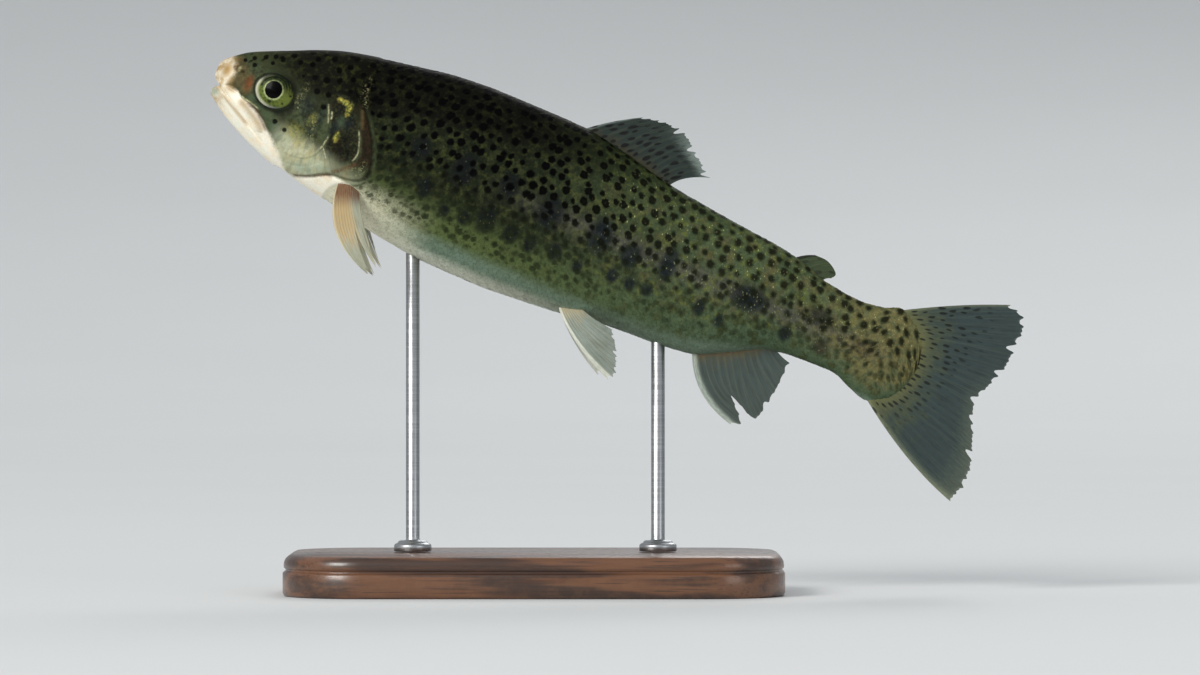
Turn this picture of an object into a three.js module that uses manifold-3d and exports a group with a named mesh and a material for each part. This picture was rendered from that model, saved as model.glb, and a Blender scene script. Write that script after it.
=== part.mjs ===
// A rainbow trout, 250 mm long, as a still life-size model on a plain display stand.
//
// Millimetres, +Z up, +X from the snout to the tail, -Y on the fish's left flank. The origin is the
// middle of the bounding box, on the surface that the stand rests on.
//
// The fish is first built level and straight: x runs back from the tip of the snout, z up from the
// axis that joins the snout to the fork of the tail, and y is 0 on the middle plane. The body is one
// loft, parted with thin cuts into head, jaw, gill covers and lengths of trunk. Then the tail is swung
// a little to one side and the whole fish is pitched nose-up over the stand.

import * as THREE from "three";
import { mergeVertices } from "three/addons/utils/BufferGeometryUtils.js";
import Module from "manifold-3d";

const wasm = await Module();
wasm.setup();

// ---------------------------------------------------------------- driving dimensions, mm and degrees

const PITCH_DEG = 23; // nose-up attitude of the whole fish
const BODY_LENGTH = 224; // snout to the end of the scaled body
const SWING = { from: 115, length: 135, reach: 7 }; // the tail's sideways swing, at the tail's tip
const GAP = 0.3; // left between neighbouring pieces
const REACH = 60; // anything longer than the fish is deep or wide

// Lofting stations: [x, back, belly, half width, height of the widest point].
const STATIONS = [
  [0, 1.6, -6.4, 0.6, -2.4],
  [1, 3.3, -7.7, 2.0, -2.4],
  [2.5, 4.7, -8.8, 3.4, -2.4],
  [6.9, 8.0, -11.7, 5.8, -2.2],
  [12.8, 10.9, -14.7, 7.7, -2.2],
  [18.6, 13.5, -17.2, 9.0, -2.4],
  [24.5, 16.2, -18.9, 10.2, -2.8],
  [33.3, 19.4, -21.1, 11.7, -3.2],
  [45, 22.0, -23.6, 12.7, -3.0],
  [55, 23.8, -26.0, 13.2, -1.8],
  [66, 25.6, -27.7, 13.6, -0.8],
  [78, 26.4, -28.9, 13.8, 0],
  [95, 26.5, -29.1, 13.5, 0.4],
  [106, 26.3, -28.4, 12.9, 0.5],
  [118, 24.5, -27.4, 12.0, 0.4],
  [136, 20.6, -25.0, 10.3, 0],
  [148, 19.0, -24.5, 9.0, -0.6],
  [160, 17.7, -23.2, 7.9, -1.0],
  [171, 16.7, -18.2, 6.9, -0.6],
  [181, 14.9, -13.2, 5.9, 0],
  [189, 12.4, -12.0, 5.1, 0],
  [200.5, 11.2, -11.7, 4.4, -0.3],
  [207, 12.0, -14.0, 3.7, -0.8],
  [212.5, 13.9, -15.6, 3.1, -0.8],
  [219, 10.8, -12.9, 2.1, -0.6],
  [222.5, 6.2, -8.0, 1.4, -0.5],
  [BODY_LENGTH, 0.6, -1.6, 0.7, -0.5],
];
const BACK_FULLNESS = { head: 2.35, trunk: 2.1 }; // superellipse exponents of the cross-section
const BELLY_FULLNESS = { head: 1.9, trunk: 2.15 };
const HEAD_SHAPE_ENDS = 70; // x where the head's section has turned into the trunk's
const LOFT = { along: 34, around: 20, endWeight: 0.72 };

const EYE = { x: 18.9, z: 0.3, halfLength: 7.6, halfHeight: 6.1, halfDepth: 3.4, proud: 1.0, sides: 16 };
const EYE_TURN_DEG = 12; // each eye looks this much forwards
const EYE_TILT_DEG = 3; // and this much upwards
const MAXILLA_PLATE = { proud: 0.35, thickness: 1.5 };
const GILL_COVER_PLATE = { proud: 0.3, thickness: 2.2 };
const ISTHMUS_HALF_WIDTH = 1.2; // the throat left between the two gill covers

// Outlines as seen from the side, [x, z].
const MOUTH_NOTCH = [[-3, 1.6], [2.9, -4.4], [-3, -6.6]];
const MOUTH_LINE = [[2.5, -4.4], [5.4, -5.9], [8.4, -7.7], [14.2, -11.4], [24.5, -17], [27, -24]];
const MAXILLA = [
  [4.8, -3.4], [10.4, -5.0], [16.3, -7.0], [21.3, -10.6], [22.4, -12.4],
  [21.4, -13.8], [16.3, -12.0], [10.4, -8.7], [5.1, -5.3],
];
const GILL_COVER = [
  [34.6, 4.7], [38, 7], [42.6, 6.9], [47.4, 2.3], [51.8, -5.9], [52.6, -11.5], [49.6, -15.4],
  [42.1, -17], [33.9, -19.4], [31.4, -18.6], [35.6, -13.2], [36.7, -5.9], [35.4, -1.2],
];
const SHOULDER_LINE = [
  [43.9, 30], [44.6, 14.7], [45.6, 8], [51.5, -2.5], [53.8, -10.5],
  [50.4, -16.2], [45.4, -18.4], [44.6, -21.5], [46.8, -32],
];
const TRUNK_CUTS = [100, 141, 190]; // x of the cuts between the lengths of trunk and the tail stalk

// Fins, [x, z]: root is just under the skin, tips run from the leading ray to the last, and bow is
// the middle handle of each ray's curve. Thickness is [root, tip]; spread is how far the tips of a
// paired fin stand out from the root.
const FINS = {
  dorsal_fin: {
    rays: 11, thickness: [2.2, 0.75],
    root: [[104.5, 24.2], [116.9, 22.3], [127.2, 20.1], [134.8, 18.5]],
    bow: [[111, 30.4], [121.5, 29.5], [130, 28], [136.5, 24.2]],
    tips: [[121, 35.8], [127, 36.8], [132.6, 36.7], [136, 34.9], [138.3, 32.6], [141.6, 30.1],
      [144.2, 28.2], [146, 27]],
  },
  adipose_fin: {
    rays: 4, thickness: [2.0, 1.1],
    root: [[177.4, 14.8], [182, 12.9], [187, 11]],
    bow: [[180, 17.2], [184.5, 16.2], [188.4, 13.4]],
    tips: [[183, 18.1], [186.5, 18], [189.1, 16.8], [190.7, 15.1], [189.8, 13.6]],
  },
  anal_fin: {
    rays: 11, thickness: [2.2, 0.75],
    root: [[160.3, -21.2], [171.2, -16.2], [181.5, -11]],
    bow: [[165.1, -34.3], [176.5, -26], [185, -13.4]],
    tips: [[179.8, -37.5], [182.5, -36.4], [181.4, -34.4], [176.4, -29.4], [183, -32.7],
      [185.6, -33.2], [187.1, -28], [188, -20.5], [188.4, -14]],
  },
  caudal_fin: {
    rays: 17, thickness: [2.4, 0.75],
    root: [[208, 10.4], [216, 7.5], [219.5, 0], [216, -8.5], [208.8, -11.5]],
    bow: [[226, 21.2], [233, 11], [233, -0.5], [233, -11.5], [229, -27.2]],
    tips: [[242, 27.3], [246.9, 25.8], [248.2, 22.5], [248.3, 16], [247.7, 8.7], [245.2, 2.5],
      [243.5, -2], [244.3, -7], [247.2, -13.4], [249.6, -20], [250.4, -27], [248, -33]],
  },
  pectoral_fin: {
    rays: 11, thickness: [2.0, 0.7], spread: 11, sink: 1.2,
    root: [[46.2, -17], [49.2, -16.2], [52.6, -17.4]],
    bow: [[46.9, -33], [52.5, -27], [56, -23.2]],
    tips: [[65, -38.4], [66.3, -35.4], [65.2, -34.4], [64.6, -33], [62.2, -29.6], [59, -26.6]],
  },
  pelvic_fin: {
    rays: 9, thickness: [1.9, 0.7], spread: 8, sink: 1.2,
    root: [[119.4, -25.4], [122.5, -24.6], [126, -23.6]],
    bow: [[127.4, -34.4], [131, -30.2], [131.5, -24.8]],
    tips: [[141.6, -39.4], [142.7, -37.6], [141.6, -33.7], [139.8, -29.9], [136.6, -25.4]],
  },
};
const ALONG_RAY = 3; // steps from a ray's root to its tip
const RAY_RIDGE = 0.1; // a ray is this share thicker, and the web between as much thinner
const WEB_SET_BACK = 0.02; // the web ends this share of a ray's length short of the ray's tip
const RIGHT_PELVIC_REACH = 0.85; // the right pelvic fin lies a little more folded

const STAND = {
  floorBelowAxis: 154, centreX: 93, length: 146, width: 84, thickness: 12, corner: 24, bevel: 2.5,
};
const RODS = { stand_rod_front: 74.4, stand_rod_rear: 150.7 }; // x along the fish where each rod enters
const ROD = {
  radius: 2, intoBody: 7, footRadius: 5.5, footHeight: 3.2, footBevel: 1.1, endBevel: 0.6, sides: 16,
};

// ---------------------------------------------------------------- finishes

const finish = (name, color, roughness, metalness = 0) =>
  new THREE.MeshStandardMaterial({ name, color, roughness, metalness });
const FINISH = {
  olive: finish("olive_skin", 0x5f6438, 0.4),
  silver: finish("silvery_skin", 0xa9ad93, 0.32),
  pale: finish("pale_jaw_skin", 0xd8d3bd, 0.4),
  fin: finish("fin_membrane", 0x8b8a5c, 0.45),
  paired: finish("amber_fin_membrane", 0xb08a4e, 0.45),
  eye: finish("eye", 0x2b2f26, 0.08),
  wood: finish("stained_wood", 0x4a2f1d, 0.45),
  steel: finish("brushed_steel", 0xb4b4b0, 0.3, 1),
};

// ---------------------------------------------------------------- curves and solids

/** A smooth function through points [x, y], which doesn't overshoot between them. */
function smoothThrough(points) {
  const slopes = points.slice(1).map(([x, y], i) => (y - points[i][1]) / (x - points[i][0]));
  const tangents = points.map((_, i) => {
    const before = slopes[i - 1] ?? slopes[i];
    const after = slopes[i] ?? before;
    return before * after <= 0 ? 0 : (2 * before * after) / (before + after);
  });
  return (x) => {
    const last = points.length - 2;
    let i = 0;
    while (i < last && x > points[i + 1][0]) i += 1;
    const width = points[i + 1][0] - points[i][0];
    const t = THREE.MathUtils.clamp((x - points[i][0]) / width, 0, 1);
    return THREE.MathUtils.lerp(points[i][1], points[i + 1][1], t * t * (3 - 2 * t))
      + width * t * (1 - t) * (tangents[i] * (1 - t) - tangents[i + 1] * t);
  };
}

const [backAt, bellyAt, halfWidthAt, widestAt] = [1, 2, 3, 4].map((column) =>
  smoothThrough(STATIONS.map((station) => [station[0], station[column]])),
);

/** A number that goes from its head value to its trunk value along x. */
function headToTrunk({ head, trunk }, x) {
  return THREE.MathUtils.lerp(head, trunk, THREE.MathUtils.smoothstep(x, 0, HEAD_SHAPE_ENDS));
}

/** The body's half width at a place seen from the side. */
function flankAt(x, z) {
  const up = z > widestAt(x);
  const height = Math.abs((up ? backAt(x) : bellyAt(x)) - widestAt(x));
  const share = Math.min(Math.abs(z - widestAt(x)) / height, 1);
  const power = headToTrunk(up ? BACK_FULLNESS : BELLY_FULLNESS, x);
  return halfWidthAt(x) * (1 - share ** power) ** (1 / power);
}

/** A manifold solid from points and triangles of their numbers, turned outwards whichever way they run. */
function solidFrom(points, faces) {
  let volume = 0;
  for (const [a, b, c] of faces) {
    volume += points[a].clone().cross(points[b]).dot(points[c]);
  }
  const outwards = volume > 0 ? faces : faces.map(([a, b, c]) => [a, c, b]);
  return new wasm.Manifold(new wasm.Mesh({
    numProp: 3,
    vertProperties: new Float32Array(points.flatMap((p) => p.toArray())),
    triVerts: new Uint32Array(outwards.flat()),
  }));
}

/** A manifold solid from a closed three.js geometry. */
function solidOf(geometry) {
  const bare = new THREE.BufferGeometry()
    .setAttribute("position", (geometry.index ? geometry.toNonIndexed() : geometry).getAttribute("position"));
  const merged = mergeVertices(bare, 1e-4);
  const place = merged.getAttribute("position");
  const points = Array.from({ length: place.count }, (_, i) =>
    new THREE.Vector3().fromBufferAttribute(place, i));
  const faces = Array.from({ length: merged.index.count / 3 }, (_, i) =>
    [0, 1, 2].map((corner) => merged.index.getX(3 * i + corner)));
  return solidFrom(points, faces);
}

/** A three.js geometry from a manifold solid, each vertex passed through a function. */
function geometryOf(solid, place = (point) => point) {
  const mesh = solid.getMesh();
  const positions = new Float32Array(mesh.numVert * 3);
  for (let i = 0; i < mesh.numVert; i += 1) {
    const start = i * mesh.numProp;
    const point = new THREE.Vector3(...mesh.vertProperties.subarray(start, start + 3));
    place(point).toArray(positions, i * 3);
  }
  const geometry = new THREE.BufferGeometry()
    .setAttribute("position", new THREE.BufferAttribute(positions, 3))
    .setIndex(new THREE.BufferAttribute(new Uint32Array(mesh.triVerts), 1));
  geometry.computeVertexNormals();
  return geometry;
}

/** Quads between two lists of vertex numbers, as triangles. */
function stitch(low, high) {
  return low.slice(1).flatMap((_, i) => [
    [low[i], low[i + 1], high[i + 1]],
    [low[i], high[i + 1], high[i]],
  ]);
}

/** The whole body as one loft, grown by a distance all round, or shrunk where that is negative. */
function bodySolid(grown = 0) {
  const { along, around, endWeight } = LOFT;
  const points = [];
  const rings = [];
  for (let i = 0; i <= along; i += 1) {
    const share = i / along;
    const eased = THREE.MathUtils.lerp(share, (1 - Math.cos(Math.PI * share)) / 2, endWeight);
    const x = BODY_LENGTH * eased;
    const widest = widestAt(x);
    const width = Math.max(halfWidthAt(x) + grown, 0.1);
    rings.push(Array.from({ length: around + 1 }, (_, j) => points.length + (j % around)));
    for (let j = 0; j < around; j += 1) {
      const angle = (2 * Math.PI * j) / around;
      const up = Math.cos(angle) >= 0;
      const height = Math.max(Math.abs((up ? backAt(x) : bellyAt(x)) - widest) + grown, 0.1);
      const power = 2 / headToTrunk(up ? BACK_FULLNESS : BELLY_FULLNESS, x);
      const out = Math.abs(Math.sin(angle)) ** power * Math.sign(Math.sin(angle));
      const rise = Math.abs(Math.cos(angle)) ** power * Math.sign(Math.cos(angle));
      points.push(new THREE.Vector3(x + grown * (2 * share - 1), -width * out, widest + height * rise));
    }
  }
  const faces = rings.slice(1).flatMap((ring, i) => stitch(rings[i], ring));
  for (const [ring, inwards] of [[rings[0], true], [rings[along], false]]) {
    for (let j = 1; j < around - 1; j += 1) {
      faces.push(inwards ? [ring[0], ring[j + 1], ring[j]] : [ring[0], ring[j], ring[j + 1]]);
    }
  }
  return solidFrom(points, faces);
}

/** Points along a smooth closed outline through corner points, grown outwards by a distance. */
function roundOutline(corners, grown = 0, perCorner = 2) {
  const curve = new THREE.CatmullRomCurve3(
    corners.map(([x, z]) => new THREE.Vector3(x, 0, z)), true, "centripetal");
  const count = corners.length * perCorner;
  const middle = corners.reduce((sum, [x, z]) => sum.add(new THREE.Vector3(x, 0, z)), new THREE.Vector3())
    .divideScalar(corners.length);
  const samples = Array.from({ length: count }, (_, i) => [
    curve.getPoint(i / count), curve.getTangent(i / count)]);
  const turn = samples.reduce((sum, [p], i) => {
    const next = samples[(i + 1) % count][0];
    return sum + (p.x - middle.x) * (next.z - middle.z) - (p.z - middle.z) * (next.x - middle.x);
  }, 0);
  const side = Math.sign(turn) * grown;
  return samples.map(([p, tangent]) => [p.x + side * tangent.z, p.z - side * tangent.x]);
}

/** A prism across the fish on an outline [x, z], between two values of y. */
function prism(outline, fromY = -REACH, toY = REACH) {
  const shape = new THREE.Shape(outline.map(([x, z]) => new THREE.Vector2(x, z)));
  const geometry = new THREE.ExtrudeGeometry(shape, { depth: toY - fromY, bevelEnabled: false, steps: 1 });
  geometry.rotateX(Math.PI / 2).translate(0, toY, 0);
  return solidOf(geometry);
}

/** Points along a smooth open line through corner points. */
function roundLine(corners, count) {
  const curve = new THREE.CatmullRomCurve3(
    corners.map(([x, z]) => new THREE.Vector3(x, 0, z)), false, "centripetal");
  return curve.getPoints(count).map((p) => [p.x, p.z]);
}

const SIDES = { left: -1, right: 1 }; // the sign of y on each flank

/** The prism of an outline on one flank only, from a distance off the middle plane outwards. */
function flankPrism(outline, side, inner) {
  return side < 0 ? prism(outline, -REACH, -inner) : prism(outline, inner, REACH);
}

// ---------------------------------------------------------------- the fish's pieces, level and straight

const wholeBody = bodySolid();
const grownBody = bodySolid(GAP);

/** A plate on a flank: its own solid, and the pocket that it needs in what carries it. */
function flankPlate(outline, { proud, thickness }, side) {
  const under = bodySolid(proud - thickness);
  return {
    plate: flankPrism(roundOutline(outline), side, ISTHMUS_HALF_WIDTH)
      .intersect(bodySolid(proud)).subtract(under),
    pocket: flankPrism(roundOutline(outline, GAP), side, ISTHMUS_HALF_WIDTH - GAP)
      .subtract(bodySolid(proud - thickness - GAP)),
  };
}

/** An eye, and the socket that it needs: an ellipsoid turned a little forwards and up. */
function eyeSolid(side, grown = 0) {
  const centreY = flankAt(EYE.x, EYE.z) + EYE.proud - EYE.halfDepth;
  const geometry = new THREE.SphereGeometry(1, EYE.sides, EYE.sides / 2);
  geometry.rotateX(Math.PI / 2);
  geometry.scale(EYE.halfLength + grown, EYE.halfDepth + grown, EYE.halfHeight + grown);
  geometry.rotateX(THREE.MathUtils.degToRad(side * EYE_TILT_DEG));
  geometry.rotateZ(THREE.MathUtils.degToRad(side * EYE_TURN_DEG));
  geometry.translate(EYE.x, side * centreY, EYE.z);
  return solidOf(geometry);
}

/** Head, lower jaw, mouth plates and gill covers. */
function headPieces() {
  const shoulder = roundLine(SHOULDER_LINE, 18);
  const ahead = prism([[-REACH, 30], ...shoulder, [-REACH, -32]]);
  const mouth = roundLine(MOUTH_LINE, 10);
  const underMouth = prism([[-REACH, -4.4], ...mouth, [27, -REACH], [-REACH, -REACH]]);
  const overMouth = prism([[-REACH, -4.4 + GAP], ...mouth.map(([x, z]) => [x + GAP, z + GAP]),
    [27 + GAP, -REACH], [-REACH, -REACH]]);
  const notch = prism(MOUTH_NOTCH);
  const pieces = {};
  let pockets = notch;
  for (const [name, side] of Object.entries(SIDES)) {
    const gill = flankPlate(GILL_COVER, GILL_COVER_PLATE, side);
    const maxilla = flankPlate(MAXILLA, MAXILLA_PLATE, side);
    pieces[`gill_cover_${name}`] = gill.plate;
    pieces[`maxilla_${name}`] = maxilla.plate;
    pieces[`eye_${name}`] = eyeSolid(side);
    pockets = pockets.add(gill.pocket).add(maxilla.pocket).add(eyeSolid(side, GAP));
  }
  pieces.head = wholeBody.intersect(ahead).subtract(overMouth).subtract(pockets);
  pieces.lower_jaw = wholeBody.intersect(underMouth).subtract(pockets);
  pieces.trunk_front = wholeBody.subtract(prism([
    [-REACH, 30], ...shoulder.map(([x, z]) => [x + GAP, z]), [-REACH, -32]])).subtract(pockets);
  return pieces;
}

/** The trunk's lengths and the tail stalk, from what is left behind the shoulder. */
function trunkPieces(trunk) {
  const names = ["trunk_front", "trunk_middle", "trunk_rear", "tail_stalk"];
  const edges = [0, ...TRUNK_CUTS, BODY_LENGTH + REACH];
  return Object.fromEntries(names.map((name, i) => {
    const from = edges[i] + (i ? GAP / 2 : 0);
    const to = edges[i + 1] - GAP / 2;
    return [name, trunk.intersect(prism([[from, -REACH], [to, -REACH], [to, REACH], [from, REACH]]))];
  }));
}

/** One fin as a thin web with raised rays, its root cut to the body with a gap. */
function finSolid({ rays, thickness, root, bow, tips, spread = 0, sink = 0 }, side = 0, reach = 1) {
  const [rootCurve, bowCurve, tipCurve] = [root, bow, tips].map((line) => new THREE.CatmullRomCurve3(
    line.map(([x, z]) => new THREE.Vector3(x, 0, z)), false, "centripetal"));
  const steps = 2 * rays;
  const middle = [];
  for (let i = 0; i <= steps; i += 1) {
    const share = i / steps;
    const start = rootCurve.getPoint(share);
    const handle = bowCurve.getPoint(share);
    const end = tipCurve.getPointAt(share);
    end.x = start.x + (end.x - start.x) * reach;
    if (i % 2) end.lerp(handle, WEB_SET_BACK);
    const ray = new THREE.QuadraticBezierCurve3(start, handle, end);
    const rootY = side ? flankAt(start.x, start.z) - sink : 0;
    middle.push(Array.from({ length: ALONG_RAY + 1 }, (_, j) => {
      const point = ray.getPoint(j / ALONG_RAY);
      point.y = side * (rootY + spread * Math.sin((j / ALONG_RAY) * Math.PI / 2));
      return point;
    }));
  }
  const points = [];
  const faces = [];
  const numbers = [-1, 1].map((face) => middle.map((ray, i) => ray.map((point, j) => {
    const onwards = middle[Math.min(i + 1, steps)][j].clone().sub(middle[Math.max(i - 1, 0)][j]);
    const outwards = ray[Math.min(j + 1, ALONG_RAY)].clone().sub(ray[Math.max(j - 1, 0)]);
    const normal = onwards.cross(outwards).normalize();
    const ridge = 1 + (i % 2 ? -RAY_RIDGE : RAY_RIDGE);
    const thick = THREE.MathUtils.lerp(thickness[0], thickness[1], Math.sqrt(j / ALONG_RAY)) * ridge;
    points.push(point.clone().addScaledVector(normal, (face * thick) / 2));
    return points.length - 1;
  })));
  const [under, over] = numbers;
  for (let i = 0; i < steps; i += 1) {
    faces.push(...stitch(under[i], under[i + 1]), ...stitch(over[i + 1], over[i]));
  }
  const rim = (grid) => [
    ...grid.map((ray) => ray[0]), ...grid[steps].slice(1),
    ...grid.map((ray) => ray[ALONG_RAY]).reverse().slice(1), ...grid[0].slice(0, ALONG_RAY).reverse()];
  faces.push(...stitch(rim(under), rim(over)));
  return solidFrom(points, faces).subtract(grownBody);
}

/** The largest body of a solid, without the crumbs that a cut can leave. */
function largest(solid) {
  return solid.decompose().sort((a, b) => b.volume() - a.volume())[0];
}

/** Every piece of the fish by its node's name. */
function fishPieces() {
  const pieces = headPieces();
  Object.assign(pieces, trunkPieces(pieces.trunk_front));
  for (const name of ["dorsal_fin", "adipose_fin", "anal_fin", "caudal_fin"]) {
    pieces[name] = finSolid(FINS[name]);
  }
  for (const [name, side] of Object.entries(SIDES)) {
    pieces[`pectoral_fin_${name}`] = finSolid(FINS.pectoral_fin, side);
    pieces[`pelvic_fin_${name}`] = finSolid(FINS.pelvic_fin, side, side > 0 ? RIGHT_PELVIC_REACH : 1);
  }
  return pieces;
}

// ---------------------------------------------------------------- pose

/** Swings the tail sideways: the further back, the more. */
function swung(point) {
  const share = Math.max(point.x - SWING.from, 0) / SWING.length;
  point.y += SWING.reach * share * share;
  return point;
}

const pitch = new THREE.Matrix4().makeRotationY(THREE.MathUtils.degToRad(PITCH_DEG));
const levelling = pitch.clone().invert();

// ---------------------------------------------------------------- stand

/** Where a rod meets the belly, in the pitched frame. */
function rodTop(alongFish) {
  return swung(new THREE.Vector3(alongFish, 0, bellyAt(alongFish))).applyMatrix4(pitch);
}

/** A rod with a round foot, from the base's top up into the belly. */
function rodGeometry(alongFish, grown = 0) {
  const top = rodTop(alongFish);
  const from = STAND.thickness - STAND.floorBelowAxis + GAP - grown;
  const to = top.z + ROD.intoBody + grown;
  const radius = ROD.radius + grown;
  const foot = from + ROD.footHeight;
  const profile = [
    [0, from], [ROD.footRadius, from], [ROD.footRadius, foot - ROD.footBevel],
    [ROD.footRadius - ROD.footBevel, foot], [radius, foot],
    [radius, to - ROD.endBevel], [radius - ROD.endBevel, to], [0, to],
  ].map(([r, z]) => new THREE.Vector2(r, z));
  const geometry = new THREE.LatheGeometry(profile, ROD.sides);
  geometry.rotateX(Math.PI / 2).translate(top.x, top.y, 0);
  return geometry;
}

/** The base: a slab with round corners and a soft edge. */
function baseGeometry() {
  const { length, width, thickness, corner, bevel, centreX, floorBelowAxis } = STAND;
  const [halfX, halfY] = [length / 2 - bevel, width / 2 - bevel];
  const radius = corner - bevel;
  const shape = new THREE.Shape();
  shape.moveTo(-halfX + radius, -halfY);
  shape.absarc(halfX - radius, -halfY + radius, radius, -Math.PI / 2, 0);
  shape.absarc(halfX - radius, halfY - radius, radius, 0, Math.PI / 2);
  shape.absarc(-halfX + radius, halfY - radius, radius, Math.PI / 2, Math.PI);
  shape.absarc(-halfX + radius, -halfY + radius, radius, Math.PI, 1.5 * Math.PI);
  const geometry = new THREE.ExtrudeGeometry(shape, {
    depth: thickness - 2 * bevel, bevelEnabled: true, bevelThickness: bevel, bevelSize: bevel,
    bevelSegments: 2, curveSegments: 5,
  });
  return geometry.translate(centreX, 0, bevel - floorBelowAxis);
}

// ---------------------------------------------------------------- assembly

const FINISH_OF = {
  head: FINISH.silver, lower_jaw: FINISH.pale, maxilla: FINISH.pale, gill_cover: FINISH.silver,
  eye: FINISH.eye, trunk: FINISH.olive, tail_stalk: FINISH.olive, pectoral_fin: FINISH.paired,
  pelvic_fin: FINISH.paired, dorsal_fin: FINISH.fin, adipose_fin: FINISH.fin, anal_fin: FINISH.fin,
  caudal_fin: FINISH.fin, stand_base: FINISH.wood, stand_rod: FINISH.steel,
};

/** A named mesh with the finish that its name's beginning calls for. */
function named(name, geometry) {
  const kind = Object.keys(FINISH_OF).find((key) => name.startsWith(key));
  const mesh = new THREE.Mesh(geometry, FINISH_OF[kind]);
  mesh.name = name;
  return mesh;
}

const trout = new THREE.Group();
trout.applyMatrix4(pitch);
const sockets = Object.values(RODS).map((along) =>
  solidOf(rodGeometry(along, GAP).applyMatrix4(levelling)));
for (const [name, solid] of Object.entries(fishPieces())) {
  let piece = solidOf(geometryOf(largest(solid), swung));
  if (name.startsWith("trunk")) piece = sockets.reduce((left, socket) => left.subtract(socket), piece);
  trout.add(named(name, geometryOf(largest(piece))));
}

const stand = new THREE.Group();
stand.add(named("stand_base", baseGeometry()));
for (const [name, along] of Object.entries(RODS)) {
  stand.add(named(name, rodGeometry(along)));
}

const model = new THREE.Group();
model.add(trout, stand);
model.updateMatrixWorld(true);
const extent = new THREE.Box3().setFromObject(model, true);
const middle = extent.getCenter(new THREE.Vector3());
model.position.set(-middle.x, -middle.y, -extent.min.z);

export default model;
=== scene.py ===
"""A rainbow trout, 250 mm long, dressed as a life-size museum model on its display stand.

Shapes are worked out in the fish's own frame: millimetres, x back from the tip of the snout, z up
from the axis, y 0 on the middle plane and negative on the left flank. FishForm.place() swings the
tail, pitches the fish nose-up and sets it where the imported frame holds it, in metres.
"""
import logging
import math
from dataclasses import dataclass, field
from enum import Enum
from functools import partial, reduce
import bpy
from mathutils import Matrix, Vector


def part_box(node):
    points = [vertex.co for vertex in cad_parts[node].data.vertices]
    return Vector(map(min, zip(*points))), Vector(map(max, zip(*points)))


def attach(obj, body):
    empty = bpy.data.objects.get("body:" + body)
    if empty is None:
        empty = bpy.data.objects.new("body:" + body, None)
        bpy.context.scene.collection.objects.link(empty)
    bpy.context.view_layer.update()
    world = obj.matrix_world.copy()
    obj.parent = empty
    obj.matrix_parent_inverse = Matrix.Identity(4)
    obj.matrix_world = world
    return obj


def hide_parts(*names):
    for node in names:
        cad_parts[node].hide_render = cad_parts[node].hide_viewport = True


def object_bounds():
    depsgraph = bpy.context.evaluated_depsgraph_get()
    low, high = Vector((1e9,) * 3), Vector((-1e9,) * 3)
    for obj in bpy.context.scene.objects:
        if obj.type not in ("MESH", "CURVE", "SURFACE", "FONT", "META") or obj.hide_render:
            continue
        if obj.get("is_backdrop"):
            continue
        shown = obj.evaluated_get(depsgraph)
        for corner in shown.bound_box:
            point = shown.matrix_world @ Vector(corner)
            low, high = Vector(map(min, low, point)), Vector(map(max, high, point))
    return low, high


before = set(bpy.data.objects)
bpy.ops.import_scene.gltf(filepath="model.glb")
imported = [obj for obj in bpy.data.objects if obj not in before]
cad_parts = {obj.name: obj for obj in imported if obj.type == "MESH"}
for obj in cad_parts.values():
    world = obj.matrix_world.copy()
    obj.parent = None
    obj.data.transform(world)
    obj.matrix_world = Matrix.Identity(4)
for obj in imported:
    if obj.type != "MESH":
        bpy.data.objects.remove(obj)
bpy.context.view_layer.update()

from types import SimpleNamespace
from typing import Any, Sequence

import bpy
import numpy as np
from mathutils import Vector

LOG = logging.getLogger("trout")
Array = np.ndarray
Piece = bpy.types.Object
Material = bpy.types.Material
NodeTree = bpy.types.NodeTree
Socket = bpy.types.NodeSocket
Points = Sequence[Sequence[float]]
Colour = tuple[float, float, float]

MM = 0.001  # metres in a millimetre
SEED = 20
BODY = "root"


class Side(Enum):
    """A flank of the fish, as the sign of y."""

    LEFT = -1
    RIGHT = 1

    @property
    def label(self) -> str:
        """The flank's name as the nodes spell it."""
        return self.name.lower()


# ---------------------------------------------------------------- numbers and curves


def smooth_through(points: Points, column: int, x: Array) -> Array:
    """A smooth function through points that doesn't overshoot between them.

    Args:
        points: rows, of which the first number is the place along x.
        column: which number of a row is the value there.
        x: where to read it.

    Returns:
        The value at each x.
    """
    table = np.array(points, float)
    knots, values = table[:, 0], table[:, column]
    slopes = np.diff(values) / np.diff(knots)
    before, after = np.r_[slopes[0], slopes], np.r_[slopes, slopes[-1]]
    same_way = before * after > 0
    total = np.where(same_way, before + after, 1)
    tangents = np.where(same_way, 2 * before * after / total, 0)
    i = np.clip(np.searchsorted(knots, x, side="right") - 1, 0, len(knots) - 2)
    width = knots[i + 1] - knots[i]
    t = np.clip((x - knots[i]) / width, 0, 1)
    ease = t * t * (3 - 2 * t)
    bend = width * t * (1 - t) * (tangents[i] * (1 - t) - tangents[i + 1] * t)
    return values[i] * (1 - ease) + values[i + 1] * ease + bend


def step(value: Array, low: float, high: float) -> Array:
    """A smooth step from 0 at low to 1 at high, whichever is greater."""
    t = np.clip((np.asarray(value, float) - low) / (high - low), 0, 1)
    return t * t * (3 - 2 * t)


def hump(value: Array, width: float) -> Array:
    """A bell that is 1 at 0 and falls to about a third one width away."""
    return np.exp(-((np.asarray(value, float) / width) ** 2))


def fading(share: Array, rise: float, fall: float) -> Array:
    """A mask along a line, which fades in up to one share of the way and out from another."""
    return step(share, 0, rise) * step(share, 1, fall)


def unit(vectors: Array) -> Array:
    """Vectors of the same directions, all one long."""
    return vectors / np.maximum(np.linalg.norm(vectors, axis=-1, keepdims=True), 1e-9)


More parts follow.
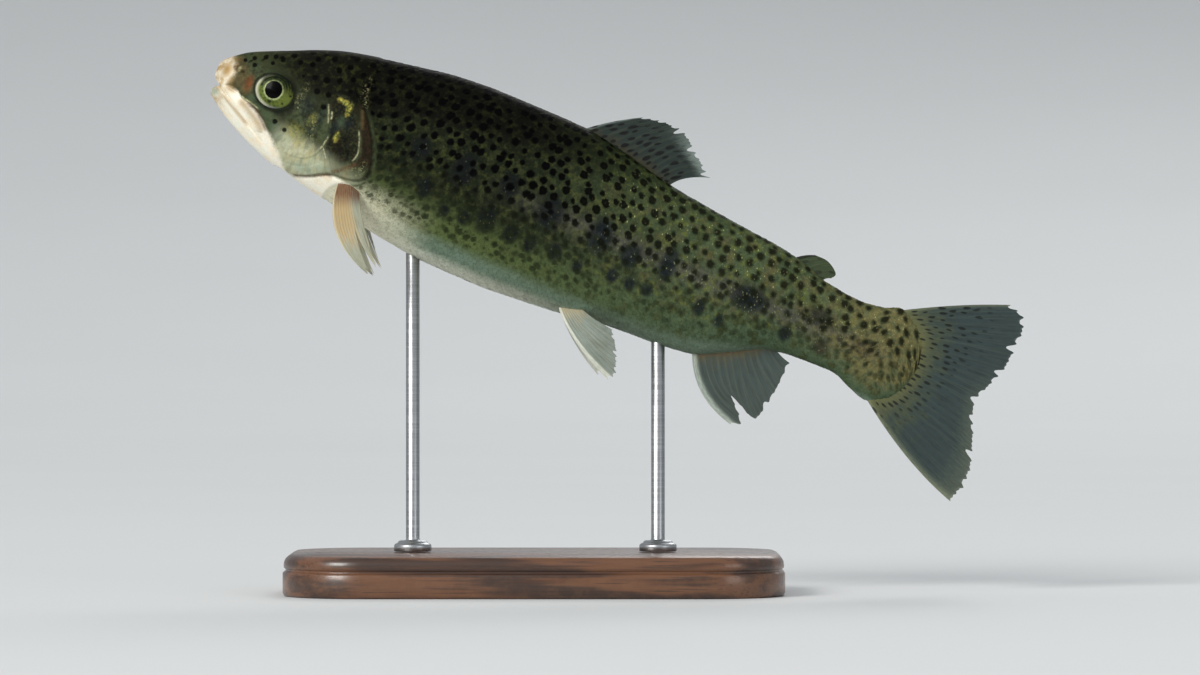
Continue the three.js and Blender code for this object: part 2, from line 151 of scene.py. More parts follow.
def circle(turns: int) -> Array:
    """Points evenly round a circle of radius 1."""
    angle = np.linspace(0, 2 * math.pi, turns, endpoint=False)
    return np.stack([np.cos(angle), np.sin(angle)], -1)


def at_height(flat: Array, height: float) -> Array:
    """The points of a flat outline, all at one height."""
    return np.column_stack([flat, np.full(len(flat), height)])


def curve_point(p: Array, share: float) -> Array:
    """A point of a centripetal Catmull-Rom curve.

    Args:
        p: the curve's corners, with one more before the first and after the last.
        share: 0 at the first corner, 1 at the next and so on.

    Returns:
        The point.
    """
    i = min(int(share), len(p) - 4)
    a, b, c, d = p[i : i + 4]
    t1 = max(np.linalg.norm(b - a) ** 0.5, 1e-6)
    t2 = t1 + max(np.linalg.norm(c - b) ** 0.5, 1e-6)
    t3 = t2 + max(np.linalg.norm(d - c) ** 0.5, 1e-6)
    t = t1 + (share - i) * (t2 - t1)
    ab = (t1 - t) / t1 * a + t / t1 * b
    bc = (t2 - t) / (t2 - t1) * b + (t - t1) / (t2 - t1) * c
    cd = (t3 - t) / (t3 - t2) * c + (t - t2) / (t3 - t2) * d
    abc = (t2 - t) / t2 * ab + t / t2 * bc
    bcd = (t3 - t) / (t3 - t1) * bc + (t - t1) / (t3 - t1) * cd
    return (t2 - t) / (t2 - t1) * abc + (t - t1) / (t2 - t1) * bcd


def curve(corners: Points, count: int, by_length: bool = False) -> Array:
    """Points along a centripetal Catmull-Rom curve through corners.

    Args:
        corners: the points that the curve passes through.
        count: how many points to give back.
        by_length: whether they are spaced evenly along its length, or evenly from corner to corner.

    Returns:
        An array of count points.
    """
    p = np.array(corners, float)
    p = np.array([2 * p[0] - p[1], *p, 2 * p[-1] - p[-2]])
    last = len(corners) - 1
    if not by_length:
        return np.array([curve_point(p, share) for share in np.linspace(0, last, count)])
    fine = np.array([curve_point(p, share) for share in np.linspace(0, last, 40 * last + 1)])
    length = np.r_[0, np.cumsum(np.linalg.norm(np.diff(fine, axis=0), axis=1))]
    at = np.linspace(0, length[-1], count)
    return np.stack([np.interp(at, length, fine[:, k]) for k in range(fine.shape[1])], -1)


@dataclass(frozen=True)
class SideLine:
    """A smooth line on the flank as seen from the side, through [x, z] corners."""

    corners: Points

    def measure(self, x: Array, z: Array) -> tuple[Array, Array]:
        """Signed distance to the line, and the share of the way along it.

        Args:
            x: places along the fish.
            z: heights there.

        Returns:
            The distance, positive to the left of the line's run where x is to the right and z is
            up, and the share from 0 at its first corner to 1 at its last.
        """
        line = curve(self.corners, 5 * len(self.corners))
        best = np.full(x.shape, 1e9)
        signed, share = np.zeros(x.shape), np.zeros(x.shape)
        for i, (a, b) in enumerate(zip(line[:-1], line[1:])):
            run = b - a
            t = np.clip(((x - a[0]) * run[0] + (z - a[1]) * run[1]) / (run @ run), 0, 1)
            dx, dz = x - a[0] - t * run[0], z - a[1] - t * run[1]
            distance = np.hypot(dx, dz)
            nearer = distance < best
            best = np.where(nearer, distance, best)
            turn = np.where(run[0] * (z - a[1]) - run[1] * (x - a[0]) < 0, -1, 1)
            signed = np.where(nearer, distance * turn, signed)
            share = np.where(nearer, (i + t) / (len(line) - 1), share)
        return signed, share


def blobs(x: Array, z: Array, marks: Points, soft: float = 0.35) -> Array:
    """Soft-edged ellipses, as a mask from 0 to 1.

    Args:
        x: places along the fish.
        z: heights there.
        marks: rows of centre x, centre z, half width and half height.
        soft: how far the edge spreads to each side, as a share of the half width.

    Returns:
        The strongest mark at each place.
    """
    mask = np.zeros(x.shape)
    for cx, cz, half_x, half_z in marks:
        reach = np.hypot((x - cx) / half_x, (z - cz) / half_z)
        mask = np.maximum(mask, step(reach, 1 + soft, 1 - soft))
    return mask


# ---------------------------------------------------------------- the form of the fish


@dataclass(frozen=True)
class FishForm:
    """The body's loft and the pose of the whole fish, in millimetres."""

    body_length: float = 224.0
    pitch_deg: float = 23.0
    swing_from: float = 115.0
    swing_length: float = 135.0
    swing_reach: float = 7.0
    head_shape_ends: float = 70.0
    back_fullness: tuple[float, float] = (2.35, 2.1)  # section exponents, head and trunk
    belly_fullness: tuple[float, float] = (1.9, 2.15)
    floor_below_axis: float = 154.0
    stand_centre_x: float = 93.0
    # [x, back, belly, half width, height of the widest point]
    stations: Points = (
        (0, 1.6, -6.4, 0.6, -2.4), (1, 3.3, -7.7, 2, -2.4), (2.5, 4.7, -8.8, 3.4, -2.4),
        (6.9, 8, -11.7, 5.8, -2.2), (12.8, 10.9, -14.7, 7.7, -2.2), (18.6, 13.5, -17.2, 9, -2.4),
        (24.5, 16.2, -18.9, 10.2, -2.8), (33.3, 19.4, -21.1, 11.7, -3.2), (45, 22, -23.6, 12.7, -3),
        (55, 23.8, -26, 13.2, -1.8), (66, 25.6, -27.7, 13.6, -0.8), (78, 26.4, -28.9, 13.8, 0),
        (95, 26.5, -29.1, 13.5, 0.4), (106, 26.3, -28.4, 12.9, 0.5), (118, 24.5, -27.4, 12, 0.4),
        (136, 20.6, -25, 10.3, 0), (148, 19, -24.5, 9, -0.6), (160, 17.7, -23.2, 7.9, -1),
        (171, 16.7, -18.2, 6.9, -0.6), (181, 14.9, -13.2, 5.9, 0), (189, 12.4, -12, 5.1, 0),
        (200.5, 11.2, -11.7, 4.4, -0.3), (207, 12, -14, 3.7, -0.8), (212.5, 13.9, -15.6, 3.1, -0.8),
        (219, 10.8, -12.9, 2.1, -0.6), (222.5, 6.2, -8, 1.4, -0.5), (224, 0.6, -1.6, 0.7, -0.5),
    )

    def back(self, x: Array) -> Array:
        """Height of the back's outline."""
        return smooth_through(self.stations, 1, x)

    def belly(self, x: Array) -> Array:
        """Height of the belly's outline."""
        return smooth_through(self.stations, 2, x)

    def half_width(self, x: Array) -> Array:
        """Half the body's width."""
        return smooth_through(self.stations, 3, x)

    def widest(self, x: Array) -> Array:
        """Height at which the body is widest."""
        return smooth_through(self.stations, 4, x)

    def power(self, x: Array, up: Array) -> Array:
        """The section's exponent above or below its widest point."""
        trunk = step(x, 0, self.head_shape_ends)
        (head_up, trunk_up), (head_down, trunk_down) = self.back_fullness, self.belly_fullness
        above = head_up + (trunk_up - head_up) * trunk
        below = head_down + (trunk_down - head_down) * trunk
        return np.where(up, above, below)

    def flank(self, x: Array, z: Array) -> Array:
        """The body's half width at a place seen from the side."""
        x, z = np.asarray(x, float), np.asarray(z, float)
        widest = self.widest(x)
        up = z > widest
        height = np.abs(np.where(up, self.back(x), self.belly(x)) - widest)
        power = self.power(x, up)
        share = np.clip(np.abs(z - widest) / height, 0, 1)
        return self.half_width(x) * (1 - share**power) ** (1 / power)

    def half_ring(self, x: float, shares: Array) -> tuple[Array, Array, float]:
        """Half a section, spaced evenly along its girth from the back to the belly.

        Args:
            x: place along the fish.
            shares: shares of the half girth, from 0 on the back to 1 on the belly.

        Returns:
            y as a positive number and z at each share, and the half girth.
        """
        angle = np.linspace(0, math.pi, 241)
        up = np.cos(angle) >= 0
        widest = float(self.widest(x))
        height = np.abs(np.where(up, self.back(x), self.belly(x)) - widest)
        power = 2 / self.power(x, up)
        y = self.half_width(x) * np.abs(np.sin(angle)) ** power
        z = widest + height * np.sign(np.cos(angle)) * np.abs(np.cos(angle)) ** power
        girth = np.r_[0, np.cumsum(np.hypot(np.diff(y), np.diff(z)))]
        at = shares * girth[-1]
        return np.interp(at, girth, y), np.interp(at, girth, z), float(girth[-1])

    def shift(self) -> Vector:
        """From the pitched fish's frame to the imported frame, in millimetres."""
        low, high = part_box("stand_base")
        return Vector(((low.x + high.x) / 2 / MM - self.stand_centre_x, (low.y + high.y) / 2 / MM,
                       low.z / MM + self.floor_below_axis))

    def place(self, points: Array) -> Array:
        """Points of the level fish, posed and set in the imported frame.

        Args:
            points: an array whose last axis is x, y, z in millimetres.

        Returns:
            The same points in metres in the shared frame.
        """
        x, y, z = points[..., 0], points[..., 1], points[..., 2]
        share = np.maximum(x - self.swing_from, 0) / self.swing_length
        y = y + self.swing_reach * share * share
        turn = math.radians(self.pitch_deg)
        along = x * math.cos(turn) + z * math.sin(turn)
        up = z * math.cos(turn) - x * math.sin(turn)
        shift = self.shift()
        return np.stack([along + shift.x, y + shift.y, up + shift.z], axis=-1) * MM


FORM = FishForm()


@dataclass(frozen=True)
class HeadLines:
    """Where the head's edges and openings run on the flank, [x, z]."""

    eye: tuple[float, float] = (18.4, 0.15)
    orbit: tuple[float, float] = (5.9, 4.95)
    # how far back the cut of the mouth reaches at each height
    mouth_cut: Points = ((-10, -3), (-7.8, 0.9), (-6.4, 0.75), (-5.2, 1.5), (-4.4, 2.9), (-3.4, 1.2),
                         (-2.2, 0.2), (2.2, -3))
    nostrils: Points = ((4.9, 2.3, 0.55, 0.5), (7.7, 1.9, 0.75, 0.5))
    bone_fan: tuple[float, float] = (33.0, 2.0)
    mouth: SideLine = SideLine(((2.7, -4.4), (5.4, -5.9), (8.4, -7.7), (11.3, -9.8), (14.2, -11.5),
                                (17.2, -13.1), (20.5, -14.8), (24.5, -17)))
    maxilla: SideLine = SideLine(((4.6, -4), (10.4, -5.2), (14.2, -6.4), (18.6, -8.9), (21.8, -11.2),
                                  (22.5, -12.6), (21.2, -13.9)))
    supramaxilla: SideLine = SideLine(((10.7, -4.7), (12.8, -5.3), (15.7, -6.2), (18.6, -7.4), (21.6, -9)))
    opercle: SideLine = SideLine(((35.8, 6.9), (38.8, 7.6), (41.8, 6.6), (44, 3.8), (45.6, 0.4),
                                  (47.6, -4), (48.6, -7.8), (47.6, -10.3), (44.6, -11.6), (39.8, -11.9)))
    flap: SideLine = SideLine(((37.5, 13.5), (40.6, 9.4), (44, 6.4), (47.4, 2.6), (50.2, -1.2), (52.2, -5.6),
                               (53.3, -10.3), (52.6, -13.2), (50.3, -14.8), (46.5, -15.4), (43, -15.7),
                               (40.6, -16.7), (37.7, -18.3), (34.8, -19.5), (31.8, -20.2), (27, -19.6)))
    preopercle: SideLine = SideLine(((34, 4.8), (34.8, 2.8), (35.8, 0.4), (37, -2.5), (37.9, -5.9),
                                     (38, -8.6), (37.2, -11.6), (34.3, -14.2), (29.5, -15), (24.8, -14.2)))
    interopercle: SideLine = SideLine(((39.8, -12.2), (37.7, -14.7), (33.3, -17.1), (27.5, -17.4)))
    jaw_edge: SideLine = SideLine(((3, -7.6), (7, -10.2), (12, -13), (18.6, -15.9), (25, -18.1)))
    shoulder: SideLine = SideLine(((42.4, 30), (43.3, 19), (44, 11.5), (45.4, 7.2), (48.4, 3), (51.3, -1.6),
                                   (53.4, -6.2), (54.3, -11), (53, -14.6), (50.2, -16.4), (46, -17.6),
                                   (43.4, -21.5), (44, -32)))
    lateral: SideLine = SideLine(((46, 8.5), (54, 4), (66, 1.4), (90, 0.6), (140, 0), (224, -0.2)))

    def behind_shoulder(self, x: Array, z: Array) -> Array:
        """Distance behind the line where the scaled trunk begins, negative on the head."""
        return self.shoulder.measure(x, z)[0]

    def mouth_reach(self, z: Array) -> Array:
        """How far back the cut of the mouth reaches at a height."""
        cut = np.array(self.mouth_cut)
        return np.interp(z, cut[:, 0], cut[:, 1])


HEAD = HeadLines()


def orbit_share(x: Array, z: Array) -> Array:
    """Distance from the eye's middle, 1 on the rim of the orbit."""
    return np.hypot((x - HEAD.eye[0]) / HEAD.orbit[0], (z - HEAD.eye[1]) / HEAD.orbit[1])


def head_relief(x: Array, z: Array) -> Array:
    """How far the head's bones, folds and openings stand off the plain loft.

    Args:
        x: places along the fish, all on the head.
        z: heights there.

    Returns:
        The height at each place, in millimetres.
    """
    # the orbit: its rim, the groove round it, the bones below it and the socket
    orbit = orbit_share(x, z)
    off = 0.13 * hump(orbit - 1.1, 0.07) - 0.1 * hump(orbit - 1.26, 0.1)
    off += 0.07 * hump(orbit - 1.65, 0.14) * step(z, 4, -2)
    off -= 2.4 * step(orbit, 1.03, 0.9)

    # the mouth: the cut, the lower lip and the upper lip
    d, share = HEAD.mouth.measure(x, z)
    off -= 0.5 * hump(d, 0.26) * step(share, 1, 0.55)
    off += 0.2 * hump(d + 0.85, 0.6) * step(share, 0.75, 0.3)
    off += 0.14 * hump(d - 0.9, 0.6) * step(share, 0.5, 0.15)
    # the maxilla's plate and the groove above it, the supramaxilla and the jaw's lower edge
    d, share = HEAD.maxilla.measure(x, z)
    plate = step(-d, -0.12, 0.35) * step(-d, 4.6, 2.2) * step(x, 3.4, 6.5) * step(x, 23.6, 19.5)
    plate = plate * step(share, 1, 0.86)
    off += 0.3 * plate - 0.2 * hump(d - 0.3, 0.28) * step(x, 4, 7) * step(share, 0.85, 0.6)
    off += 0.14 * hump(HEAD.supramaxilla.measure(x, z)[0], 0.35)
    d, share = HEAD.jaw_edge.measure(x, z)
    off -= 0.08 * hump(d, 0.4) * fading(share, 0.2, 0.8)

    # the gill cover's free flap, the slit behind it and the fold along it
    flap, share = HEAD.flap.measure(x, z)
    side = step(z, -21.5, -19) * step(share, 0, 0.1)
    off += 0.4 * step(-flap, -0.15, 0.45) * step(-flap, 9, 2.5) * side
    off -= 0.6 * hump(flap - 0.45, 0.45) * side * step(share, 0.02, 0.2)
    off -= 0.12 * hump(flap + 1.9, 0.5) * side * step(share, 0.1, 0.3) * step(share, 0.66, 0.5)
    # the bones of the gill cover
    d, share = HEAD.opercle.measure(x, z)
    shown = fading(share, 0.15, 0.8)
    off += 0.22 * step(-d, -0.1, 0.35) * step(-d, 7.5, 3) * shown - 0.12 * hump(d - 0.3, 0.25) * shown
    d, share = HEAD.preopercle.measure(x, z)
    shown = fading(share, 0.12, 0.7)
    off += 0.17 * hump(d + 0.15, 0.3) * shown - 0.15 * hump(d - 0.4, 0.3) * shown
    off += 0.06 * hump(d + 1.3, 0.35) * shown
    d, share = HEAD.interopercle.measure(x, z)
    off -= 0.12 * hump(d, 0.3) * fading(share, 0.15, 0.7)
    # rays of bone fan out over the lower cheek and the gill cover
    fan_x, fan_z = x - HEAD.bone_fan[0], z - HEAD.bone_fan[1]
    ribs = np.sin(46 * np.arctan2(fan_z, fan_x)) * step(np.hypot(fan_x, fan_z), 6.5, 11)
    ribs = ribs * step(z, -6, -10)
    off += 0.018 * ribs * step(x, 22, 26) * step(-flap, 0.4, 1.2)

    # the nostrils' pits and rims, and the flap of skin between them
    for cx, cz, half_x, half_z in HEAD.nostrils:
        pit = np.hypot((x - cx) / half_x, (z - cz) / half_z)
        off += 0.2 * hump(pit - 1.35, 0.35) - 0.75 * step(pit, 1.05, 0.45)
    between = np.hypot((x - 6.4) / 0.45, (z - 2.3) / 0.8)
    return off + 0.22 * hump(between, 1)


def relief(x: Array, z: Array) -> Array:
    """How far the skin stands off the plain loft anywhere on the fish, in millimetres."""
    off = np.zeros(x.shape)
    head = x < 58
    off[head] = head_relief(x[head], z[head])
    d, share = HEAD.lateral.measure(x, z)
    return off - 0.12 * hump(d, 0.4) * step(share, 0, 0.05)


# ---------------------------------------------------------------- markings, as masks on the skin


# the masks that the skin and the scales carry, three to a vector
PACKED_MASKS: dict[str, tuple[str, str, str]] = {
    "tone": ("dark", "pale", "keel"),
    "tint": ("parr", "rose", "rear"),
    "face": ("red", "blue", "membrane"),
    "shine": ("gold", "bright", "trunk"),
    "spots": ("radius", "head_spot", "height"),
    "site": ("x", "girth", "breast"),
    "plates": ("plate", "silver", "brown"),
    "hues": ("tan", "teal", "dusk"),
    "glow": ("cream", "fan", "fan_reach"),
}

# strokes painted on the head, [line, half width]; the glint strokes are painted highlights
# along the preopercle's ridges, the supramaxilla and the gill cover's rear edge
GLINT_STROKES: tuple[tuple[SideLine, float], ...] = (
    (SideLine(((34.7, 3), (35.7, 0.7), (37, -2.7))), 0.18),
    (SideLine(((36.5, 1.3), (37, 0), (37.2, -1.1))), 0.2),
    (SideLine(((38.4, -5.6), (38, -8.5), (37.5, -10.3))), 0.17),
    (SideLine(((37.8, -9), (39.1, -10.6), (40.4, -12.1))), 0.15),
    (SideLine(((9.9, -4.8), (11.8, -5.3), (13.9, -5.7), (16.6, -6.6))), 0.24),
    (SideLine(((45.9, -0.6), (47.4, -3.8), (48.3, -7.8), (47.4, -10))), 0.17),
)
BROWN_STROKES: tuple[tuple[SideLine, float], ...] = (
    (SideLine(((12, -5.9), (15.6, -7), (18.6, -9.3), (21.4, -11.9))), 0.42),
    (SideLine(((32, -20.6), (36.6, -19.2), (41.6, -16.9), (44.5, -15.9))), 0.5),
    (SideLine(((42.6, -15), (45, -13.8), (47.3, -11.6), (49.6, -9.6))), 0.6),
)
TAN_STROKES: tuple[tuple[SideLine, float], ...] = (
    (SideLine(((3.6, -5.6), (8.1, -8.3), (11.3, -10.2), (15.5, -12.4))), 0.45),
    (SideLine(((9.5, -5.6), (14, -8), (17.8, -10.2), (20.2, -12.6))), 1.1),
    (SideLine(((44.4, 5.4), (45.8, 2.2), (47, -0.8))), 0.5),
)
# soft marks on the head, [centre x, centre z, half width, half height]
HEAD_MARKS: dict[str, Points] = {
    "red": ((10.7, -0.5, 1, 1.9),),
    "tan": ((6, -2.2, 1.8, 2.6), (7.9, -0.5, 2.4, 2.4), (10.2, -2.6, 1.8, 1.5), (6.4, 2.4, 2.2, 1.8),
            (2.9, 0.6, 1.6, 2.6), (4.6, 4.6, 2, 1.2)),
    "teal": ((13.2, -4.3, 1.5, 0.9), (16.2, -5.5, 1.6, 1), (19.2, -7.2, 1.8, 1.3), (21.8, -9.8, 1.8, 1.8),
             (40.2, -0.6, 1.2, 1.6), (35.4, -17, 3.4, 1.4), (40, -15.2, 2.4, 1.3), (1.9, -6.6, 1.4, 1.2)),
    "blue": ((29.4, -0.3, 2.1, 2.2), (42.3, 0.3, 1.4, 1.9), (39, -3, 1.3, 1.8), (32.8, -5.6, 0.9, 1.8),
             (34.3, -1, 1, 2.2)),
    # the dusk marks: dark patches on the gill cover, painted shade below and behind the eye, and painted
    # shade in the front nostril's pit
    "dusk": ((42.6, -7.8, 1.4, 1.2), (45.2, -7.9, 1.3, 1.2), (38.4, 4.1, 1.1, 0.9), (5.1, 2, 0.5, 1.4),
             (43.4, -4.6, 1.2, 1.6), (24.6, -3, 1.6, 2.2), (22.6, -4.8, 2.2, 1.2)),
    "cream": ((26.6, 3.8, 0.9, 1.7), (26.3, 0.6, 1, 1.8), (26.8, -2.1, 0.9, 1.3), (32.3, -12.7, 2.6, 2),
              (34.8, -12.8, 2, 1.8), (35.3, -10.6, 0.9, 1.9), (36.4, -17.2, 1.3, 0.7),
              (38.6, -16.5, 1.2, 0.6), (41.2, -15.8, 0.9, 0.7), (48.9, -12.4, 2.4, 1.5),
              (51.1, -10.8, 1.1, 2), (43.4, 11.2, 1.1, 3), (45, 7.4, 1, 2), (32.7, -4.7, 1.3, 2),
              (33.4, -7.9, 0.9, 0.9)),
    "gold": ((37.5, 5.2, 0.7, 0.6), (39.4, 5, 1, 0.6), (41, 3.9, 0.7, 1.1), (41, 2.3, 0.55, 0.8),
             (40.6, -5.1, 0.6, 1.3)),
    "haze": ((28.6, -8.6, 2.6, 2), (30.9, -10.4, 1.8, 1.5), (32.2, -3.4, 0.9, 1.6)),
}


@dataclass(frozen=True)
class Markings:
    """The trout's markings as functions of the place on the flank, [x, z] in millimetres."""

    # below this line the skin is pale: [x, z, softness]
    pale_line: Points = (
        (0, -3.4, 1.2), (4.2, -3, 1.4), (7, -3.4, 1.4), (8.6, -3.8, 1.2),
        (10.4, -5.1, 0.6), (14.2, -6.3, 0.45), (18.6, -8.8, 0.6), (21.2, -11, 1.2), (22.8, -12.2, 2.2),
        (24.6, -13.6, 2.8), (27, -15.8, 2.8), (29.6, -18.4, 2.2), (32, -20.3, 1.2), (36.6, -19.2, 0.9),
        (41.6, -16.9, 0.8), (44, -16, 0.8), (46, -16, 0.9), (52, -17, 2), (58, -18.5, 3.2),
        (75, -20.4, 4.6), (110, -20.6, 5.8), (150, -19.8, 5.8), (170, -15.4, 4.4), (185, -12, 2.8),
        (206, -13.6, 2), (224, -14.5, 2),
    )
    snout: Points = ((0, -0.2, 5.6, 6.6),)
    pale_cheek: Points = ((28.6, -13, 5.4, 2.6), (33, -12, 3, 2.2))
    # above this line the back is dark
    dark_line: Points = (
        (0, 7), (8, 6.5), (18, 3.6), (30, 1.2), (44, 1.8), (54, 6), (72, 9), (89, 12), (104, 13.5),
        (118, 14.5), (135, 16), (160, 16), (224, 16),
    )
    # centre x, centre z, half width, half height
    parr_marks: Points = (
        (64.5, 1.5, 3, 3.6), (78.8, 0.6, 3.8, 5.2), (92.6, 1.5, 3, 3.8), (106.7, -0.9, 3.9, 5.4),
        (122.8, -1.5, 3.8, 5.2), (133, -3.5, 3, 3.8), (144.2, -1.5, 2.4, 5.4), (169.8, -1.5, 5.6, 3.9),
        (191.8, 1.8, 3.8, 2.7), (206.4, -1.5, 2.8, 2.8),
        (70, -8.8, 2.3, 3), (77.9, -12.6, 1.5, 2), (84, -12.3, 1.9, 2.2), (90.2, -9.7, 2.7, 4.3),
        (98.4, -11.1, 2.3, 2.9), (104.6, -11.7, 1.9, 2.9), (112.2, -10.9, 2.1, 2.5),
        (119.9, -12.6, 1.5, 1.8), (130.4, -10.9, 1.8, 2.2), (136, -11.1, 1.8, 2), (141.3, -10.9, 1.8, 1.8),
        (157.4, -9.4, 1.8, 2.6), (164.2, -10.9, 1.5, 2), (183.5, -6.7, 2, 2.2), (194.7, -6.2, 2.2, 2.2),
    )
    # x, z and radius of the head's round spots
    head_spots: Points = (
        (6.9, 5.3, 0.6), (9.2, 6.9, 0.7), (10.1, 5, 0.7), (12.2, 8.5, 0.8), (14.8, 9.7, 0.8),
        (17.2, 9.7, 0.8), (14.8, 7.6, 0.6), (22.2, 10.9, 0.8), (25.7, 11.7, 0.85), (26.6, 13.8, 0.85),
        (31, 15.8, 0.95), (28, 8.5, 0.9), (31.5, 9.1, 1), (30.1, 5, 0.95), (33.6, 5.3, 0.85),
        (35.1, 10.3, 0.9), (33.6, 13.2, 0.95), (36.2, 15.3, 0.95), (39.2, 8.6, 0.7), (22.2, -7.9, 0.8),
        (25.7, -9.1, 0.7), (38.5, 12.2, 0.8), (19.8, 12, 0.7), (42, 18.4, 1), (37, 18.4, 0.9),
        (40.7, 14.6, 0.9), (24.6, 7.6, 0.5), (43.4, 12.6, 0.9), (33.7, 1.5, 0.85),
    )
    # a painted highlight on the skin flap between the nostrils
    nostril_glint: Points = ((6.5, 2.3, 0.4, 0.7),)
    cheek_fan: tuple[float, float] = (33.0, 4.0)  # where the cheek's streaks fan out from
    haze: float = 0.36  # how strong the gold haze is beside the gold marks
    right_shift: float = 2.4  # the right flank's marks lie a little further back

    @staticmethod
    def strokes(x: Array, z: Array, lines: Sequence[tuple[SideLine, float]]) -> Array:
        """Soft strokes along lines, as a mask from 0 to 1."""
        mask = np.zeros(x.shape)
        for line, width in lines:
            d, share = line.measure(x, z)
            mask = np.maximum(mask, hump(d, width) * fading(share, 0.12, 0.85))
        return mask

    def gill_plate(self, x: Array, z: Array) -> Array:
        """The dark, shot-coloured plate of the gill cover."""
        inside = step(-HEAD.opercle.measure(x, z)[0], 0, 0.8)
        inside = inside * step(HEAD.preopercle.measure(x, z)[0], 0.3, 1.2)
        return inside * step(x, 34, 37) * step(z, -12.9, -11.2) * step(z, 8.5, 5.5)

    def silver_cheek(self, x: Array, z: Array) -> Array:
        """The silvery lower cheek and the lower edge of the gill cover."""
        middle = -10.2 - 0.2 * (x - 30)
        low = step(z, middle + 3.6, middle - 2.4) * step(x, 20.5, 28)
        return low * step(x, 56, 50) * (1 - 0.5 * step(x, 39, 44))

    def gill_membrane(self, x: Array, z: Array) -> Array:
        """The brown skin between the gill cover's bone and its free edge."""
        inside = step(-HEAD.flap.measure(x, z)[0], -0.2, 0.3)
        inside = inside * step(HEAD.opercle.measure(x, z)[0], -0.1, 1.1)
        return inside * step(x, 41, 44.5) * step(z, -13, -8.5) * step(z, 9.5, 4.5)

    def head_masks(self, x: Array, z: Array, face: Array) -> dict[str, Array]:
        """The masks of the head.

        Args:
            x: places along the fish.
            z: heights there.
            face: 1 on the head and 0 on the trunk.

        Returns:
            Masks by name.
        """
        marks = {name: blobs(x, z, rows, 0.92) * face for name, rows in HEAD_MARKS.items()}
        orbit = orbit_share(x, z)
        # painted shadow: darker behind and below the eye's rim, in a thin ring along the rim and inside the
        # orbit; it joins the dark patches' mask
        behind = step(np.cos(np.arctan2(z - HEAD.eye[1], x - HEAD.eye[0]) + 0.6), -0.6, 0.5)
        shadow = step(orbit, 1.3, 1.04) * behind + 0.5 * hump(orbit - 1.05, 0.05) + step(orbit, 1.02, 0.9)
        throat = step(HEAD.mouth_reach(z) - x, 0.3, 1) * step(z, -6.2, -5.2)
        # painted highlights: the glint strokes and a spot on the nostrils' flap
        bright = np.maximum(self.strokes(x, z, GLINT_STROKES), 0.5 * blobs(x, z, self.nostril_glint, 0.8))
        fan_x, fan_z = x - self.cheek_fan[0], z - self.cheek_fan[1]
        return {
            "red": np.maximum(marks["red"], 0.7 * throat),
            "blue": marks["blue"],
            "membrane": self.gill_membrane(x, z) * face,
            "gold": np.maximum(marks["gold"], self.haze * marks["haze"]),
            "bright": bright * face,
            "head_spot": blobs(x, z, [(cx, cz, r, r) for cx, cz, r in self.head_spots], 0.5) * face,
            "plate": self.gill_plate(x, z),
            "silver": self.silver_cheek(x, z) * face,
            "brown": self.strokes(x, z, BROWN_STROKES) * face,
            "tan": np.maximum(marks["tan"], 0.65 * self.strokes(x, z, TAN_STROKES)) * face,
            "teal": marks["teal"],
            "dusk": np.clip(marks["dusk"] + shadow * face, 0, 1),
            "cream": marks["cream"],
            "fan": np.arctan2(fan_z, fan_x),
            "fan_reach": np.hypot(fan_x, fan_z),
        }

    def masks(self, level: Array, girth: Array) -> dict[str, Array]:
        """What the skin and the scales carry at each vertex.

        Args:
            level: the vertices' places on the level fish.
            girth: their girth from the back's middle line, negative on the left.

        Returns:
            The vectors of PACKED_MASKS, and the places themselves under "rest".
        """
        z = level[:, 2]
        x = level[:, 0] - self.right_shift * step(girth, 2, 10) * step(level[:, 0], 58, 64)
        back, belly = FORM.back(level[:, 0]), FORM.belly(level[:, 0])
        height = np.clip((z - belly) / np.maximum(back - belly, 1), 0, 1)
        trunk = step(HEAD.behind_shoulder(x, z), -0.5, 0.7)
        line, soft = (smooth_through(self.pale_line, column, x) for column in (1, 2))
        pale = step((line - z) / soft, -0.6, 1)
        pale = np.maximum(pale, blobs(x, z, self.snout, 0.34))
        found = self.head_masks(x, z, 1 - trunk) | {
            "dark": step(z - smooth_through(self.dark_line, 1, x), -4, 6),
            "pale": np.maximum(pale, 0.25 * blobs(x, z, self.pale_cheek, 0.9)),
            "keel": step(height, 0.12, 0) * trunk * (0.3 + 0.7 * step(x, 150, 85)),
            "parr": blobs(x, z, self.parr_marks, 0.4) * trunk,
            "rose": hump(HEAD.lateral.measure(x, z)[0] + 1.2, 3) * step(x, 80, 125) * step(x, 223, 200),
            "rear": step(x, 88, 168),
            "trunk": trunk,
            "radius": (0.76 + 0.32 * step(height, 0.28, 0.62)) * step(height, 0.12, 0.22) * trunk,
            "height": height,
            "x": level[:, 0],
            "girth": girth,
            "breast": step(x, 80, 52) * step(z, -12, -19.5) * trunk,
        }
        packed = {key: np.stack([found[name] for name in names], -1) for key, names in PACKED_MASKS.items()}
        return packed | {"rest": level}


MARKINGS = Markings()


# ---------------------------------------------------------------- meshes


